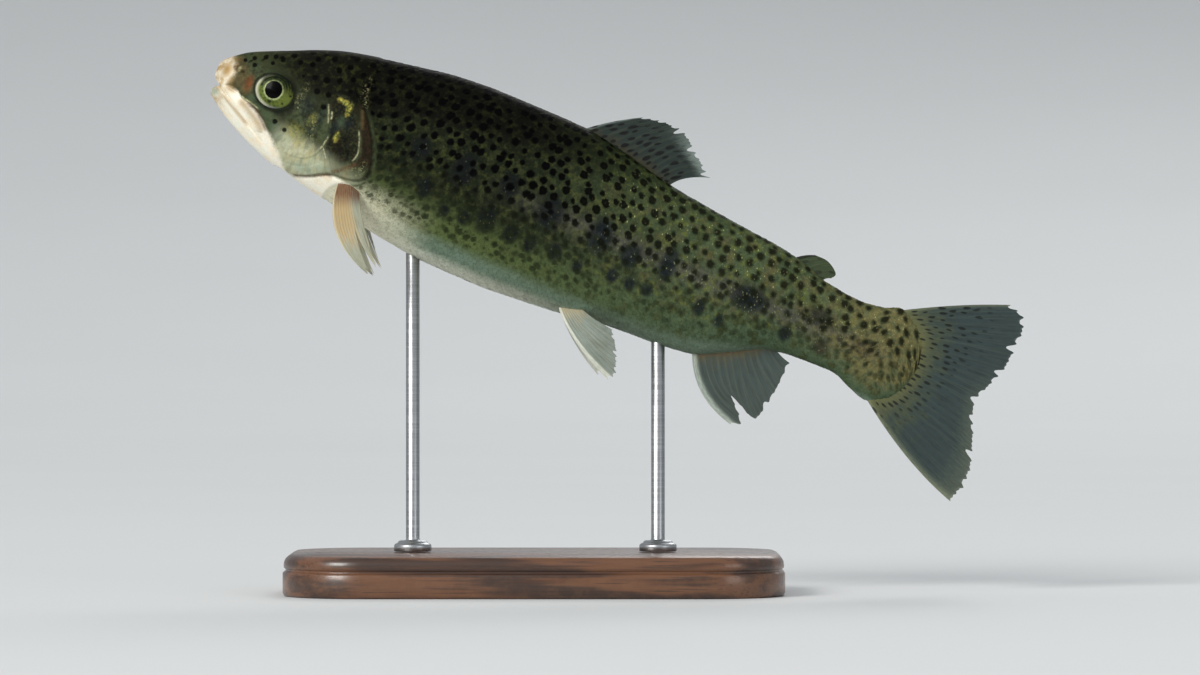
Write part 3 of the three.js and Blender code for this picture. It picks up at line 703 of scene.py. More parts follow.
def add_piece(name: str, points: Array, faces: Sequence[Array],
              material: Material, replaces: Sequence[str] = (),
              attributes: dict[str, Array] | None = None) -> Piece:
    """A smooth mesh object that rides on the model and stands for some of its nodes.

    Args:
        name: the piece's name.
        points: its vertices in metres.
        faces: blocks of faces, each a block of rows of vertex numbers.
        material: its finish.
        replaces: the nodes that it stands for.
        attributes: vectors to store on its vertices, by name.

    Returns:
        The new object.
    """
    mesh = bpy.data.meshes.new(name)
    rows = [row for block in faces for row in block.tolist()]
    mesh.from_pydata(points.reshape(-1, 3).tolist(), [], rows)
    mesh.polygons.foreach_set("use_smooth", np.ones(len(rows), bool))
    for key, values in (attributes or {}).items():
        layer = mesh.attributes.new(key, "FLOAT_VECTOR", "POINT")
        layer.data.foreach_set("vector", np.ascontiguousarray(values, np.float32).reshape(-1))
    mesh.materials.append(material)
    mesh.update()
    piece = bpy.data.objects.new(name, mesh)
    bpy.context.scene.collection.objects.link(piece)
    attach(piece, BODY)
    if replaces:
        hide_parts(*replaces)
    LOG.info("%s: %d faces", name, len(rows))
    return piece


def tube_faces(rows: int, columns: int) -> Array:
    """Quads of a tube of rings, facing outwards where the rings turn left as they come nearer."""
    i, j = np.meshgrid(np.arange(rows - 1), np.arange(columns), indexing="ij")
    k = (j + 1) % columns
    low, high = i * columns, (i + 1) * columns
    return np.stack([low + j, low + k, high + k, high + j], -1).reshape(-1, 4)


def sheet_faces(rows: int, columns: int, start: int = 0, flip: bool = False) -> Array:
    """Quads of an open sheet of rows by columns points."""
    i, j = np.meshgrid(np.arange(rows - 1), np.arange(columns - 1), indexing="ij")
    a = start + i * columns + j
    quads = np.stack([a, a + columns, a + columns + 1, a + 1], -1).reshape(-1, 4)
    return quads[:, ::-1] if flip else quads


def closed_faces(rows: int, columns: int, pointed: bool) -> list[Array]:
    """Faces of a tube of rings that is closed at both ends.

    Args:
        rows: how many rings it has.
        columns: how many vertices a ring has.
        pointed: whether it runs to two tips, which are numbered after the rings, or ends flat.

    Returns:
        Blocks of faces.
    """
    ring, last = np.arange(columns), (rows - 1) * columns
    if not pointed:
        return [tube_faces(rows, columns), ring[None, ::-1], (last + ring)[None, :]]
    after, tip = np.roll(ring, -1), np.full(columns, rows * columns)
    fans = [np.stack([tip, after, ring], -1), np.stack([tip + 1, last + ring, last + after], -1)]
    return [tube_faces(rows, columns), *fans]


def strip_faces(first: Array, second: Array) -> Array:
    """Quads between two lines of vertex numbers of one length."""
    return np.stack([first[:-1], first[1:], second[1:], second[:-1]], -1)


@dataclass
class BodySkin:
    """The one skin over head and trunk, and the surface that the scales are set on."""

    head_step: float = 0.24
    trunk_step: float = 0.9
    head_ends: float = 57.0
    half_columns: int = 190
    cap_rings: int = 26
    coat_depth: float = 0.3
    lip_round: float = 0.16
    replaced: tuple[str, ...] = (
        "head", "lower_jaw", "maxilla_left", "maxilla_right", "gill_cover_left", "gill_cover_right",
        "trunk_front", "trunk_middle", "trunk_rear", "tail_stalk",
    )
    points: Array = field(init=False)
    normals: Array = field(init=False)
    girths: Array = field(init=False)
    rows: Array = field(init=False)

    def __post_init__(self) -> None:
        """Works out the loft's rings, level and straight, with their girths and outward normals."""
        front = np.array([0, 0.06, 0.14, 0.24])
        head = np.arange(0.36, self.head_ends, self.head_step)
        trunk = np.arange(self.head_ends, 218.5, self.trunk_step)
        end = FORM.body_length - 5.5 * np.cos(np.linspace(0, math.pi / 2, 14)) ** 1.5
        self.rows = np.r_[front, head, trunk, end]
        shares = np.linspace(0, 1, self.half_columns + 1)
        self.points = np.zeros((len(self.rows), 2 * self.half_columns, 3))
        self.girths = np.zeros(self.points.shape[:2])
        for i, x in enumerate(self.rows):
            y, z, girth = FORM.half_ring(x, shares)
            self.points[i, :, 0] = x
            self.points[i, :, 1] = np.r_[-y, y[-2:0:-1]]
            self.points[i, :, 2] = np.r_[z, z[-2:0:-1]]
            self.girths[i] = np.r_[-shares, shares[-2:0:-1]] * girth
        along = np.gradient(self.points, axis=0)
        around = np.roll(self.points, -1, axis=1) - np.roll(self.points, 1, axis=1)
        self.normals = unit(np.cross(around, along))

    def inset(self, x: Array, z: Array) -> Array:
        """How far the skin lies inside the loft: nothing on the head, the coat's depth behind it."""
        return self.coat_depth * step(HEAD.behind_shoulder(x, z), -0.8, 1.5)

    def cut_mouth(self, points: Array) -> Array:
        """Pushes the front of the snout back to the cut of the mouth."""
        reach = HEAD.mouth_reach(points[..., 2])
        x = points[..., 0]
        out = points.copy()
        out[..., 0] = (x + reach + np.sqrt((x - reach) ** 2 + self.lip_round**2)) / 2
        return out

    def lifted(self) -> Array:
        """The rings with the head's relief and the room for the scales."""
        x, z = self.points[..., 0], self.points[..., 2]
        lift = relief(x, z) * step(x, 0.3, 2) - self.inset(x, z)
        return self.points + self.normals * lift[..., None]

    def build(self, material: Material) -> Piece:
        """Makes the skin as one closed mesh.

        Args:
            material: its finish.

        Returns:
            The skin.
        """
        shrink = np.linspace(0, 1, self.cap_rings, endpoint=False)[1:, None, None]
        centre = np.array([0.0, 0.0, (self.points[0, :, 2].max() + self.points[0, :, 2].min()) / 2])
        cap = centre + (self.points[0] - centre) * shrink
        tube = np.concatenate([self.cut_mouth(cap), self.cut_mouth(self.lifted())])
        level = np.concatenate([cap, self.points])
        girth = np.concatenate([np.repeat(self.girths[:1], len(cap), 0), self.girths])
        ends = np.array([self.cut_mouth(centre), tube[-1].mean(0)])
        level = np.concatenate([level.reshape(-1, 3), [centre, self.points[-1].mean(0)]])
        return add_piece("trout_skin", FORM.place(np.concatenate([tube.reshape(-1, 3), ends])),
                         closed_faces(len(tube), self.points.shape[1], True), material,
                         self.replaced, MARKINGS.masks(level, np.r_[girth.reshape(-1), 0, 0]))

    def surface_at(self, x: Array, girth: Array) -> tuple[Array, Array]:
        """Places on the loft and outward directions there.

        Args:
            x: places along the fish.
            girth: girths from the back's middle line, negative on the left.

        Returns:
            Points and normals.
        """
        half = self.half_columns
        i = np.clip(np.searchsorted(self.rows, x, side="right") - 1, 0, len(self.rows) - 2)
        t = np.clip((x - self.rows[i]) / (self.rows[i + 1] - self.rows[i]), 0, 1)[..., None]
        found = []
        for grid in (self.points, self.normals):
            sides = []
            for row in (i, i + 1):
                share = np.clip(np.abs(girth) / np.abs(self.girths[row, half]), 0, 1) * half
                j = np.clip(share.astype(int), 0, half - 1)
                s = (share - j)[..., None]
                left = grid[row, j] * (1 - s) + grid[row, j + 1] * s
                left[..., 1] = np.where(girth > 0, -left[..., 1], left[..., 1])
                sides.append(left)
            found.append(sides[0] * (1 - t) + sides[1] * t)
        return found[0], unit(found[1])

    def half_girth(self, x: Array) -> Array:
        """Half the girth at places along the fish."""
        return np.interp(x, self.rows, np.abs(self.girths[:, self.half_columns]))

    def lateral_girth(self, x: float) -> float:
        """Girth from the back down to the lateral line."""
        shares = np.linspace(0, 1, 121)
        _, z, girth = FORM.half_ring(x, shares)
        line = curve(HEAD.lateral.corners, 60)
        return float(np.interp(-np.interp(x, line[:, 0], line[:, 1]), -z, shares)) * girth


@dataclass
class ScaleCoat:
    """Thin overlapping scales over the trunk and the tail stalk, laid in slanting rows."""

    skin: BodySkin
    starts: float = 42.5
    ends: float = 222.6
    spacing: tuple[float, float] = (1.34, 1.02)  # along the fish, at the shoulder and the tail
    length_share: float = 1.75  # a scale's length over its spacing
    width_share: float = 0.64  # half its width over its spacing
    root_height: float = -0.06
    rear_height: float = 0.09
    dome: float = 0.05
    uneven: float = 0.07
    patch: float = 0.003
    max_girth: float = 148.0
    # one scale seen from above: share of the length, share of the half width
    outline: Points = ((0, -0.45), (0.35, -0.95), (0.62, -1), (0.85, -0.72), (0.97, -0.36), (1, 0),
                       (0.97, 0.36), (0.85, 0.72), (0.62, 1), (0.35, 0.95), (0, 0.45))
    ridge: Points = ((0.3, 0), (0.72, 0))

    def roots(self) -> Array:
        """Where each scale grows: rows of x, girth and spacing."""
        found = []
        x, column = self.starts, 0
        while x < self.ends:
            share = (x - self.starts) / (self.ends - self.starts)
            spacing = self.spacing[0] + (self.spacing[1] - self.spacing[0]) * float(step(share, 0.35, 1))
            across = spacing * math.sqrt(3)
            middle, half = self.skin.lateral_girth(x), float(self.skin.half_girth(x))
            first = math.ceil((0 - middle) / across - 1)
            last = math.floor((half - middle) / across + 1)
            girth = middle + (np.arange(first, last + 1) + 0.5 * (column % 2)) * across
            girth = girth[(girth > 0.1 * across) & (girth < half - 0.1 * across)]
            found.append(np.stack([np.full(len(girth), x), girth, np.full(len(girth), spacing)], -1))
            x += spacing / 2
            column += 1
        return np.concatenate(found)

    def build(self, material: Material) -> list[Piece]:
        """Makes the coat, a front and a rear piece for each flank.

        Args:
            material: its finish.

        Returns:
            The pieces.
        """
        random = np.random.default_rng(SEED)
        pieces = []
        for side in Side:
            roots = self.roots()
            point, _ = self.skin.surface_at(roots[:, 0], roots[:, 1])
            roots = roots[HEAD.behind_shoulder(point[:, 0], point[:, 2]) > -0.3]
            roots[:, 1] *= side.value
            middle = np.median(roots[:, 0])
            for part, chosen in (("front", roots[:, 0] < middle), ("rear", roots[:, 0] >= middle)):
                name = f"scales_{side.label}_{part}"
                pieces.append(self.build_patch(name, roots[chosen], random, material))
        return pieces

    def build_patch(self, name: str, roots: Array, random: np.random.Generator,
                    material: Material) -> Piece:
        """Makes one piece of the coat.

        Args:
            name: the piece's name.
            roots: rows of x, girth and spacing.
            random: draws how the scales differ.
            material: the coat's finish.

        Returns:
            The piece.
        """
        form = np.array([*self.outline, *self.ridge])
        rim, count = len(self.outline), len(form)
        size = roots[:, 2:3] * (1 + self.uneven * random.standard_normal((len(roots), 1)))
        turn = 0.12 * random.standard_normal((len(roots), 1))
        tilt = 0.035 * random.standard_normal((len(roots), 2, 1))
        glint = random.random((len(roots), 1))
        along = form[:, 0] * size * self.length_share
        across = form[:, 1] * size * self.width_share
        x = roots[:, 0:1] + along * np.cos(turn) - across * np.sin(turn)
        girth = roots[:, 1:2] + (across * np.cos(turn) + along * np.sin(turn)) * np.sign(roots[:, 1:2])
        x = np.minimum(x, FORM.body_length - 0.05)
        point, normal = self.skin.surface_at(x, girth)
        height = self.root_height + (self.rear_height - self.root_height) * form[:, 0]
        height = height + tilt[:, 0] * form[:, 0] + tilt[:, 1] * form[:, 1]
        calm = 1 - 0.7 * step(point[..., 0], 84, 60) * step(point[..., 2], -8, -14)
        height = np.where(height > 0, height * calm, height)
        height[:, rim:] += self.dome
        lift = relief(point[..., 0], point[..., 2]) - self.skin.inset(point[..., 0], point[..., 2]) + height
        placed = FORM.place(point + normal * lift[..., None])
        start = np.arange(len(roots))[:, None, None] * count
        top, bottom = self.scale_faces(rim)
        blocks = [(start + top).reshape(-1, 3), (start + bottom).reshape(-1, 3)]
        if roots[0, 1] < 0:
            blocks = [block[:, ::-1] for block in blocks]
        attributes = MARKINGS.masks(point.reshape(-1, 3), girth.reshape(-1))
        rear = np.broadcast_to(form[:, 0] * (np.arange(count) < rim), x.shape)
        attributes["scale"] = np.stack([np.broadcast_to(glint, x.shape), rear,
                                        np.broadcast_to(form[:, 1], x.shape)], -1)
        piece = add_piece(name, placed, blocks, material, (), attributes)
        self.sharpen_rims(piece.data, rim, count)
        self.lay_out(piece.data, roots, form, count)
        return piece

    @staticmethod
    def scale_faces(rim: int) -> tuple[Array, Array]:
        """Triangles of a scale's top, which meets its ridge's two points, and of its underside."""
        front, rear, half = rim, rim + 1, rim // 2
        top = []
        for i in range(rim):
            after = (i + 1) % rim
            near_root = i in (0, rim - 2, rim - 1)
            top.append((i, after, front if near_root else rear))
        top += [(front, 1, rear), (rear, rim - 2, front)]
        bottom = [(half, half - 1 - i, half - 2 - i) for i in range(half - 1)]
        bottom += [(half, half + 2 + i, half + 1 + i) for i in range(half - 1)]
        bottom.append((half, 0, rim - 1))
        return np.array(top), np.array(bottom)

    @staticmethod
    def sharpen_rims(mesh: bpy.types.Mesh, rim: int, count: int) -> None:
        """Shades each scale's top apart from its underside."""
        ends = np.zeros(len(mesh.edges) * 2, np.int32)
        mesh.edges.foreach_get("vertices", ends)
        on_rim = (ends.reshape(-1, 2) % count < rim).all(1)
        sharp = mesh.attributes.new("sharp_edge", "BOOLEAN", "EDGE")
        sharp.data.foreach_set("value", on_rim)

    def lay_out(self, mesh: bpy.types.Mesh, roots: Array, form: Array, count: int) -> None:
        """Writes the OFBake map: a small patch for each scale at its root's place on the skin."""
        u = 0.02 + 0.96 * roots[:, 0:1] / FORM.body_length + (form[:, 0] - 0.5) * self.patch
        v = 0.5 + 0.96 * roots[:, 1:2] / self.max_girth + form[:, 1] * self.patch / 2
        corners = np.zeros(len(mesh.loops), np.int32)
        mesh.loops.foreach_get("vertex_index", corners)
        layer = mesh.uv_layers.new(name="OFBake")
        places = np.stack([u.reshape(-1), v.reshape(-1)], -1)[corners]
        layer.data.foreach_set("uv", np.ascontiguousarray(places, np.float32).reshape(-1))


# ---------------------------------------------------------------- fins


@dataclass(frozen=True)
class FinShape:
    """A fin as seen from the side: where its rays start, how they bow and where they end."""

    root: Points
    bow: Points
    tips: Points
    rays: int
    thickness: tuple[float, float] = (1.5, 0.45)
    spread: float = 0.0  # how far a paired fin stands out at its tips
    sink: float = 0.0  # how deep a paired fin starts in the flank
    splits: Points = ()  # share across, share of the length where the split starts, half width
    even_tips: bool = False  # whether the tips' corners stand at even shares, or lie evenly along the edge
    fray: float = 0.04
    across_columns: int = 8
    along_rows: int = 34


FINS: dict[str, FinShape] = {
    "dorsal_fin": FinShape(
        root=((104.5, 24.2), (116.9, 22.3), (127.2, 20.1), (134.8, 18.5)),
        bow=((111, 30.4), (121.5, 29.5), (130, 28), (136.5, 24.2)),
        tips=((121, 35.8), (127, 36.8), (132.6, 36.7), (136, 34.9), (138.3, 32.6), (141.6, 30.1),
              (144.2, 28.2), (146, 27)),
        rays=13, thickness=(1.6, 0.4), fray=0.05),
    "adipose_fin": FinShape(
        root=((177.4, 14.8), (182, 12.9), (187, 11)),
        bow=((180, 17.2), (184.5, 16.2), (188.4, 13.4)),
        tips=((183, 18.1), (186.5, 18), (189.1, 16.8), (190.7, 15.1), (189.8, 13.6)),
        rays=4, thickness=(1.8, 0.7), fray=0),
    "anal_fin": FinShape(
        root=((160.3, -21.2), (171.2, -16.2), (181.5, -11)),
        bow=((165.1, -34.3), (176.5, -26), (185, -13.4)),
        tips=((179.8, -37.5), (182.5, -36.4), (181.4, -34.4), (176.4, -29.4), (183, -32.7), (185.6, -33.2),
              (187.1, -28), (188, -20.5), (188.4, -14)),
        rays=13, thickness=(1.6, 0.4), fray=0.03),
    "caudal_fin": FinShape(
        root=((208, 10.4), (216, 7.5), (219.5, 0), (216, -8.5), (208.8, -11.5)),
        bow=((226, 21.2), (233, 11), (233, -0.5), (233, -11.5), (229, -27.2)),
        tips=((242, 27.3), (246.9, 25.8), (248.2, 22.5), (248.3, 16), (247.7, 8.7), (245.2, 2.5), (243.5, -2),
              (244.3, -7), (247.2, -13.4), (249.6, -20), (250.4, -27), (248, -33)),
        rays=24, thickness=(2.4, 0.4), fray=0.035),
    "pectoral_fin": FinShape(
        root=((46.2, -17), (49.2, -16.2), (52.6, -17.4)),
        bow=((46.9, -33), (54.5, -28.5), (57, -24)),
        tips=((64.6, -38.2), (64.9, -38.35), (65.2, -38.4), (65.4, -37.9), (66.5, -35.6), (66.3, -35),
              (64.9, -33.6), (59, -26.6)),
        rays=14, thickness=(2.2, 0.4), spread=11, sink=1.2, fray=0.03,
        splits=((0.5, 0.5, 0.07), (0.785, 0.5, 0.06)), even_tips=True),
    "pelvic_fin": FinShape(
        root=((119.4, -25.4), (122.5, -24.6), (126, -23.6)),
        bow=((127.4, -34.4), (131, -30.2), (131.5, -24.8)),
        tips=((141.6, -39.4), (142.7, -37.6), (141.6, -33.7), (139.8, -29.9), (136.6, -25.4)),
        rays=10, thickness=(1.9, 0.4), spread=8, sink=1.2, fray=0.03),
}
RIGHT_PELVIC_REACH = 0.85


@dataclass
class Fin:
    """A closed, thin fin with modelled rays that fork towards ragged tips."""

    name: str
    shape: FinShape
    side: Side | None = None
    reach: float = 1.0
    ray_height: float = 0.24
    web_height: float = 0.18
    random: np.random.Generator = field(default_factory=lambda: np.random.default_rng(SEED + 1))

    def ray_mask(self, q: Array, r: Array) -> Array:
        """1 on the middle of a ray or of its branches, 0 on the web between rays."""
        off = np.abs(q - np.round(q))
        fork = 0.2 * step(r, 0.35, 0.95)
        width = 0.2 - 0.09 * step(r, 0.3, 0.7)
        return np.clip(hump(off - fork, width), 0, 1)

    def middle(self) -> tuple[Array, Array, Array]:
        """The fin's middle surface.

        Returns:
            Points as columns across by rows along, the ray number of each column, and the share of
            the ray's length at each point.
        """
        shape = self.shape
        columns = shape.rays * shape.across_columns + 1
        root, bow = curve(shape.root, columns), curve(shape.bow, columns)
        tips = curve(shape.tips, columns, by_length=not shape.even_tips)
        tips[:, 0] = root[:, 0] + (tips[:, 0] - root[:, 0]) * self.reach
        share = np.linspace(0, 1, columns)
        q = share * shape.rays
        web = np.sin(math.pi * q) ** 2
        uneven = self.random.random(shape.rays + 1) ** 3
        longer = np.interp(q, np.arange(shape.rays + 1), self.random.random(shape.rays + 1))
        forks = 0.3 * shape.fray * np.sin(2 * math.pi * q) ** 2
        end = 1 - shape.fray * (web * (0.15 + 2.4 * uneven[q.astype(int)]) + 0.5 * longer) - forks
        for place, start, half in shape.splits:
            end = np.minimum(end, start + (1 - start) * np.abs(share - place) / half)
        r = np.linspace(0, 1, shape.along_rows)[None, :] ** 0.9 * end[:, None]
        weights = [(1 - r) ** 2, 2 * r * (1 - r), r**2]
        flat = sum(w[..., None] * line[:, None, :] for w, line in zip(weights, (root, bow, tips)))
        y = np.zeros(r.shape)
        if self.side:
            out = FORM.flank(root[:, 0], root[:, 1]) - shape.sink
            y = self.side.value * (out[:, None] + shape.spread * np.sin(r * math.pi / 2))
        return np.stack([flat[..., 0], y, flat[..., 1]], -1), np.repeat(q[:, None], r.shape[1], 1), r

    def build(self, slot: str, material: Material) -> Piece:
        """Makes the fin.

        Args:
            slot: the name of a material slot; not used.
            material: its finish.

        Returns:
            The fin.
        """
        points, q, r = self.middle()
        normal = unit(np.cross(np.gradient(points, axis=0), np.gradient(points, axis=1)))
        strong = self.random.uniform(0.45, 1, self.shape.rays + 1)
        rays = self.ray_mask(q, r) * strong[np.round(q).astype(int)]
        base, tip = self.shape.thickness
        edge = 1 - 0.6 * step(q, 0.5, 0) - 0.6 * step(q, self.shape.rays - 0.5, self.shape.rays)
        body = base * (1 - step(r, 0, 0.4)) * edge
        thin = 1 - 0.55 * step(r, 0.3, 1)
        half = (body / 2 + (self.web_height + self.ray_height * rays) * thin * tip / 0.4) / 2
        half[:, -1] *= 0.4
        columns, rows = q.shape
        sides = [points - normal * half[..., None], points + normal * half[..., None]]
        number = np.arange(columns * rows).reshape(columns, rows)
        loop = np.concatenate([number[:, 0], number[-1, 1:], number[-2::-1, -1], number[0, -2:0:-1],
                               number[:1, 0]])
        blocks = [sheet_faces(columns, rows), sheet_faces(columns, rows, columns * rows, flip=True),
                  strip_faces(loop, loop + columns * rows)]
        lengths = np.linalg.norm(points[:, -1] - points[:, 0], axis=-1)[:, None]
        width = np.linalg.norm(np.diff(points[:, rows // 2], axis=0), axis=-1).sum()
        share = q / self.shape.rays
        attributes = {
            "fin": np.stack([share, r, rays], -1),
            "fin_site": np.stack([share * width, r * lengths, np.zeros(q.shape)], -1),
        }
        doubled = {key: np.concatenate([v.reshape(-1, 3)] * 2) for key, v in attributes.items()}
        return add_piece(self.name + "_membrane", FORM.place(np.concatenate(sides)), blocks, material,
                         (self.name,), doubled)


# ---------------------------------------------------------------- eyes


@dataclass
class Eye:
    """An eyeball set in the orbit, turned a little forwards and upwards."""

    side: Side
    centre: tuple[float, float] = (18.9, 0.3)  # x and z of the ball's middle
    half: tuple[float, float, float] = (7.6, 3.4, 6.1)  # length, depth, height
    proud: float = 1.0
    turn_deg: float = 12.0
    tilt_deg: float = 3.0
    rings: int = 72
    spokes: int = 120

    def build(self, material: Material) -> Piece:
        """Makes the eye.

        Args:
            material: its finish.

        Returns:
            The eye.
        """
        long, deep, tall = self.half
        polar = np.linspace(0, math.pi, self.rings + 1)[1:-1, None]
        angle = np.linspace(0, 2 * math.pi, self.spokes, endpoint=False)[None, :]
        share = np.sin(polar) * np.ones_like(angle)
        ring = np.stack([long * share * np.cos(angle), deep * np.cos(polar) * np.ones_like(angle),
                         tall * share * np.sin(angle)], -1)
        local = np.concatenate([ring.reshape(-1, 3), [[0, deep, 0], [0, -deep, 0]]])
        turn, tilt = math.radians(self.turn_deg), math.radians(self.tilt_deg)
        out = local[:, 1] * math.cos(tilt) - local[:, 2] * math.sin(tilt)
        up = local[:, 2] * math.cos(tilt) + local[:, 1] * math.sin(tilt)
        x = local[:, 0] * math.cos(turn) - out * math.sin(turn)
        y = local[:, 0] * math.sin(turn) + out * math.cos(turn)
        centre_x, centre_z = self.centre
        centre_y = FORM.flank(centre_x, centre_z) + self.proud - deep
        points = np.stack([centre_x + x, self.side.value * (centre_y + y), centre_z + up], -1)
        blocks = closed_faces(self.rings - 1, self.spokes, True)
        if self.side is Side.RIGHT:
            blocks = [block[:, ::-1] for block in blocks]
        attributes = {"eye": np.stack([local[:, 0], local[:, 2], np.zeros(len(local))], -1)}
        name = f"eye_{self.side.label}"
        return add_piece(name + "_ball", FORM.place(points), blocks, material, (name,), attributes)


# ---------------------------------------------------------------- stand


@dataclass
class Stand:
    """The wooden plinth and the two steel rods, inside the boxes of their nodes."""

    corner: float = 24.0
    sides: int = 14
    # the plinth's edge from the floor up: how far in, how high
    edge: Points = ((1.2, 0), (0.4, 0.25), (0, 1), (0, 6.6), (0.25, 7), (0.7, 7.2), (0.95, 7.6), (0.7, 8),
                    (0.35, 8.3), (0.3, 9), (0.45, 10), (0.9, 10.9), (1.6, 11.6), (2.5, 12))
    rod_radius: float = 2.0
    rod_bevel: float = 0.4
    # the collar's and rod's outline from the plinth up: radius, height
    collar: Points = ((0, 0), (5.3, 0), (5.5, 0.15), (5.5, 1.6), (5.35, 2), (4.9, 2.3), (4.4, 2.5),
                      (4.2, 2.9), (3.8, 3.15), (2.6, 3.2), (2.15, 3.3), (2, 3.6))
    turns: int = 48

    def outline(self, low: Vector, high: Vector, inset: float) -> Array:
        """The plinth's rounded outline, drawn in by inset millimetres, in millimetres."""
        radius = self.corner - inset
        points = []
        for index, (sx, sy) in enumerate(((1, 1), (-1, 1), (-1, -1), (1, -1))):
            centre_x = (high.x if sx > 0 else low.x) / MM - sx * self.corner
            centre_y = (high.y if sy > 0 else low.y) / MM - sy * self.corner
            for k in range(self.sides + 1):
                angle = math.pi / 2 * (index + k / self.sides)
                points.append((centre_x + radius * math.cos(angle), centre_y + radius * math.sin(angle)))
        return np.array(points)

    def build_plinth(self, material: Material) -> Piece:
        """Makes the moulded plinth.

        Args:
            material: its finish.

        Returns:
            The plinth.
        """
        low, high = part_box("stand_base")
        rings = [at_height(self.outline(low, high, inset), low.z / MM + height)
                 for inset, height in self.edge]
        faces = closed_faces(len(rings), len(rings[0]), False)
        return add_piece("stand_plinth", np.concatenate(rings) * MM, faces, material,
                         ("stand_base",))

    def build_rod(self, node: str, material: Material) -> Piece:
        """Makes a rod with its turned collar.

        Args:
            node: the node that it stands for.
            material: its finish.

        Returns:
            The rod.
        """
        low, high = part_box(node)
        top, centre = (high.z - low.z) / MM, (low + high) / 2
        end = ((self.rod_radius, top - self.rod_bevel), (self.rod_radius - self.rod_bevel, top))
        profile = [*self.collar[1:], *end]
        rings = [at_height(circle(self.turns) * radius + (centre.x / MM, centre.y / MM), low.z / MM + height)
                 for radius, height in profile]
        faces = closed_faces(len(rings), self.turns, False)
        return add_piece(node + "_turned", np.concatenate(rings) * MM, faces, material,
                         (node,))


# ---------------------------------------------------------------- shader building


def shade(red: int, green: int, blue: int) -> Colour:
    """A colour as the shaders take it, from its everyday 0 to 255 numbers."""
    return tuple(v / 255 / 12.92 if v <= 10 else ((v / 255 + 0.055) / 1.055) ** 2.4
                 for v in (red, green, blue))


MIX_GAP = (None,) * 5  # the sockets between a Mix node's share and its colours
MIX_RESULT = 2


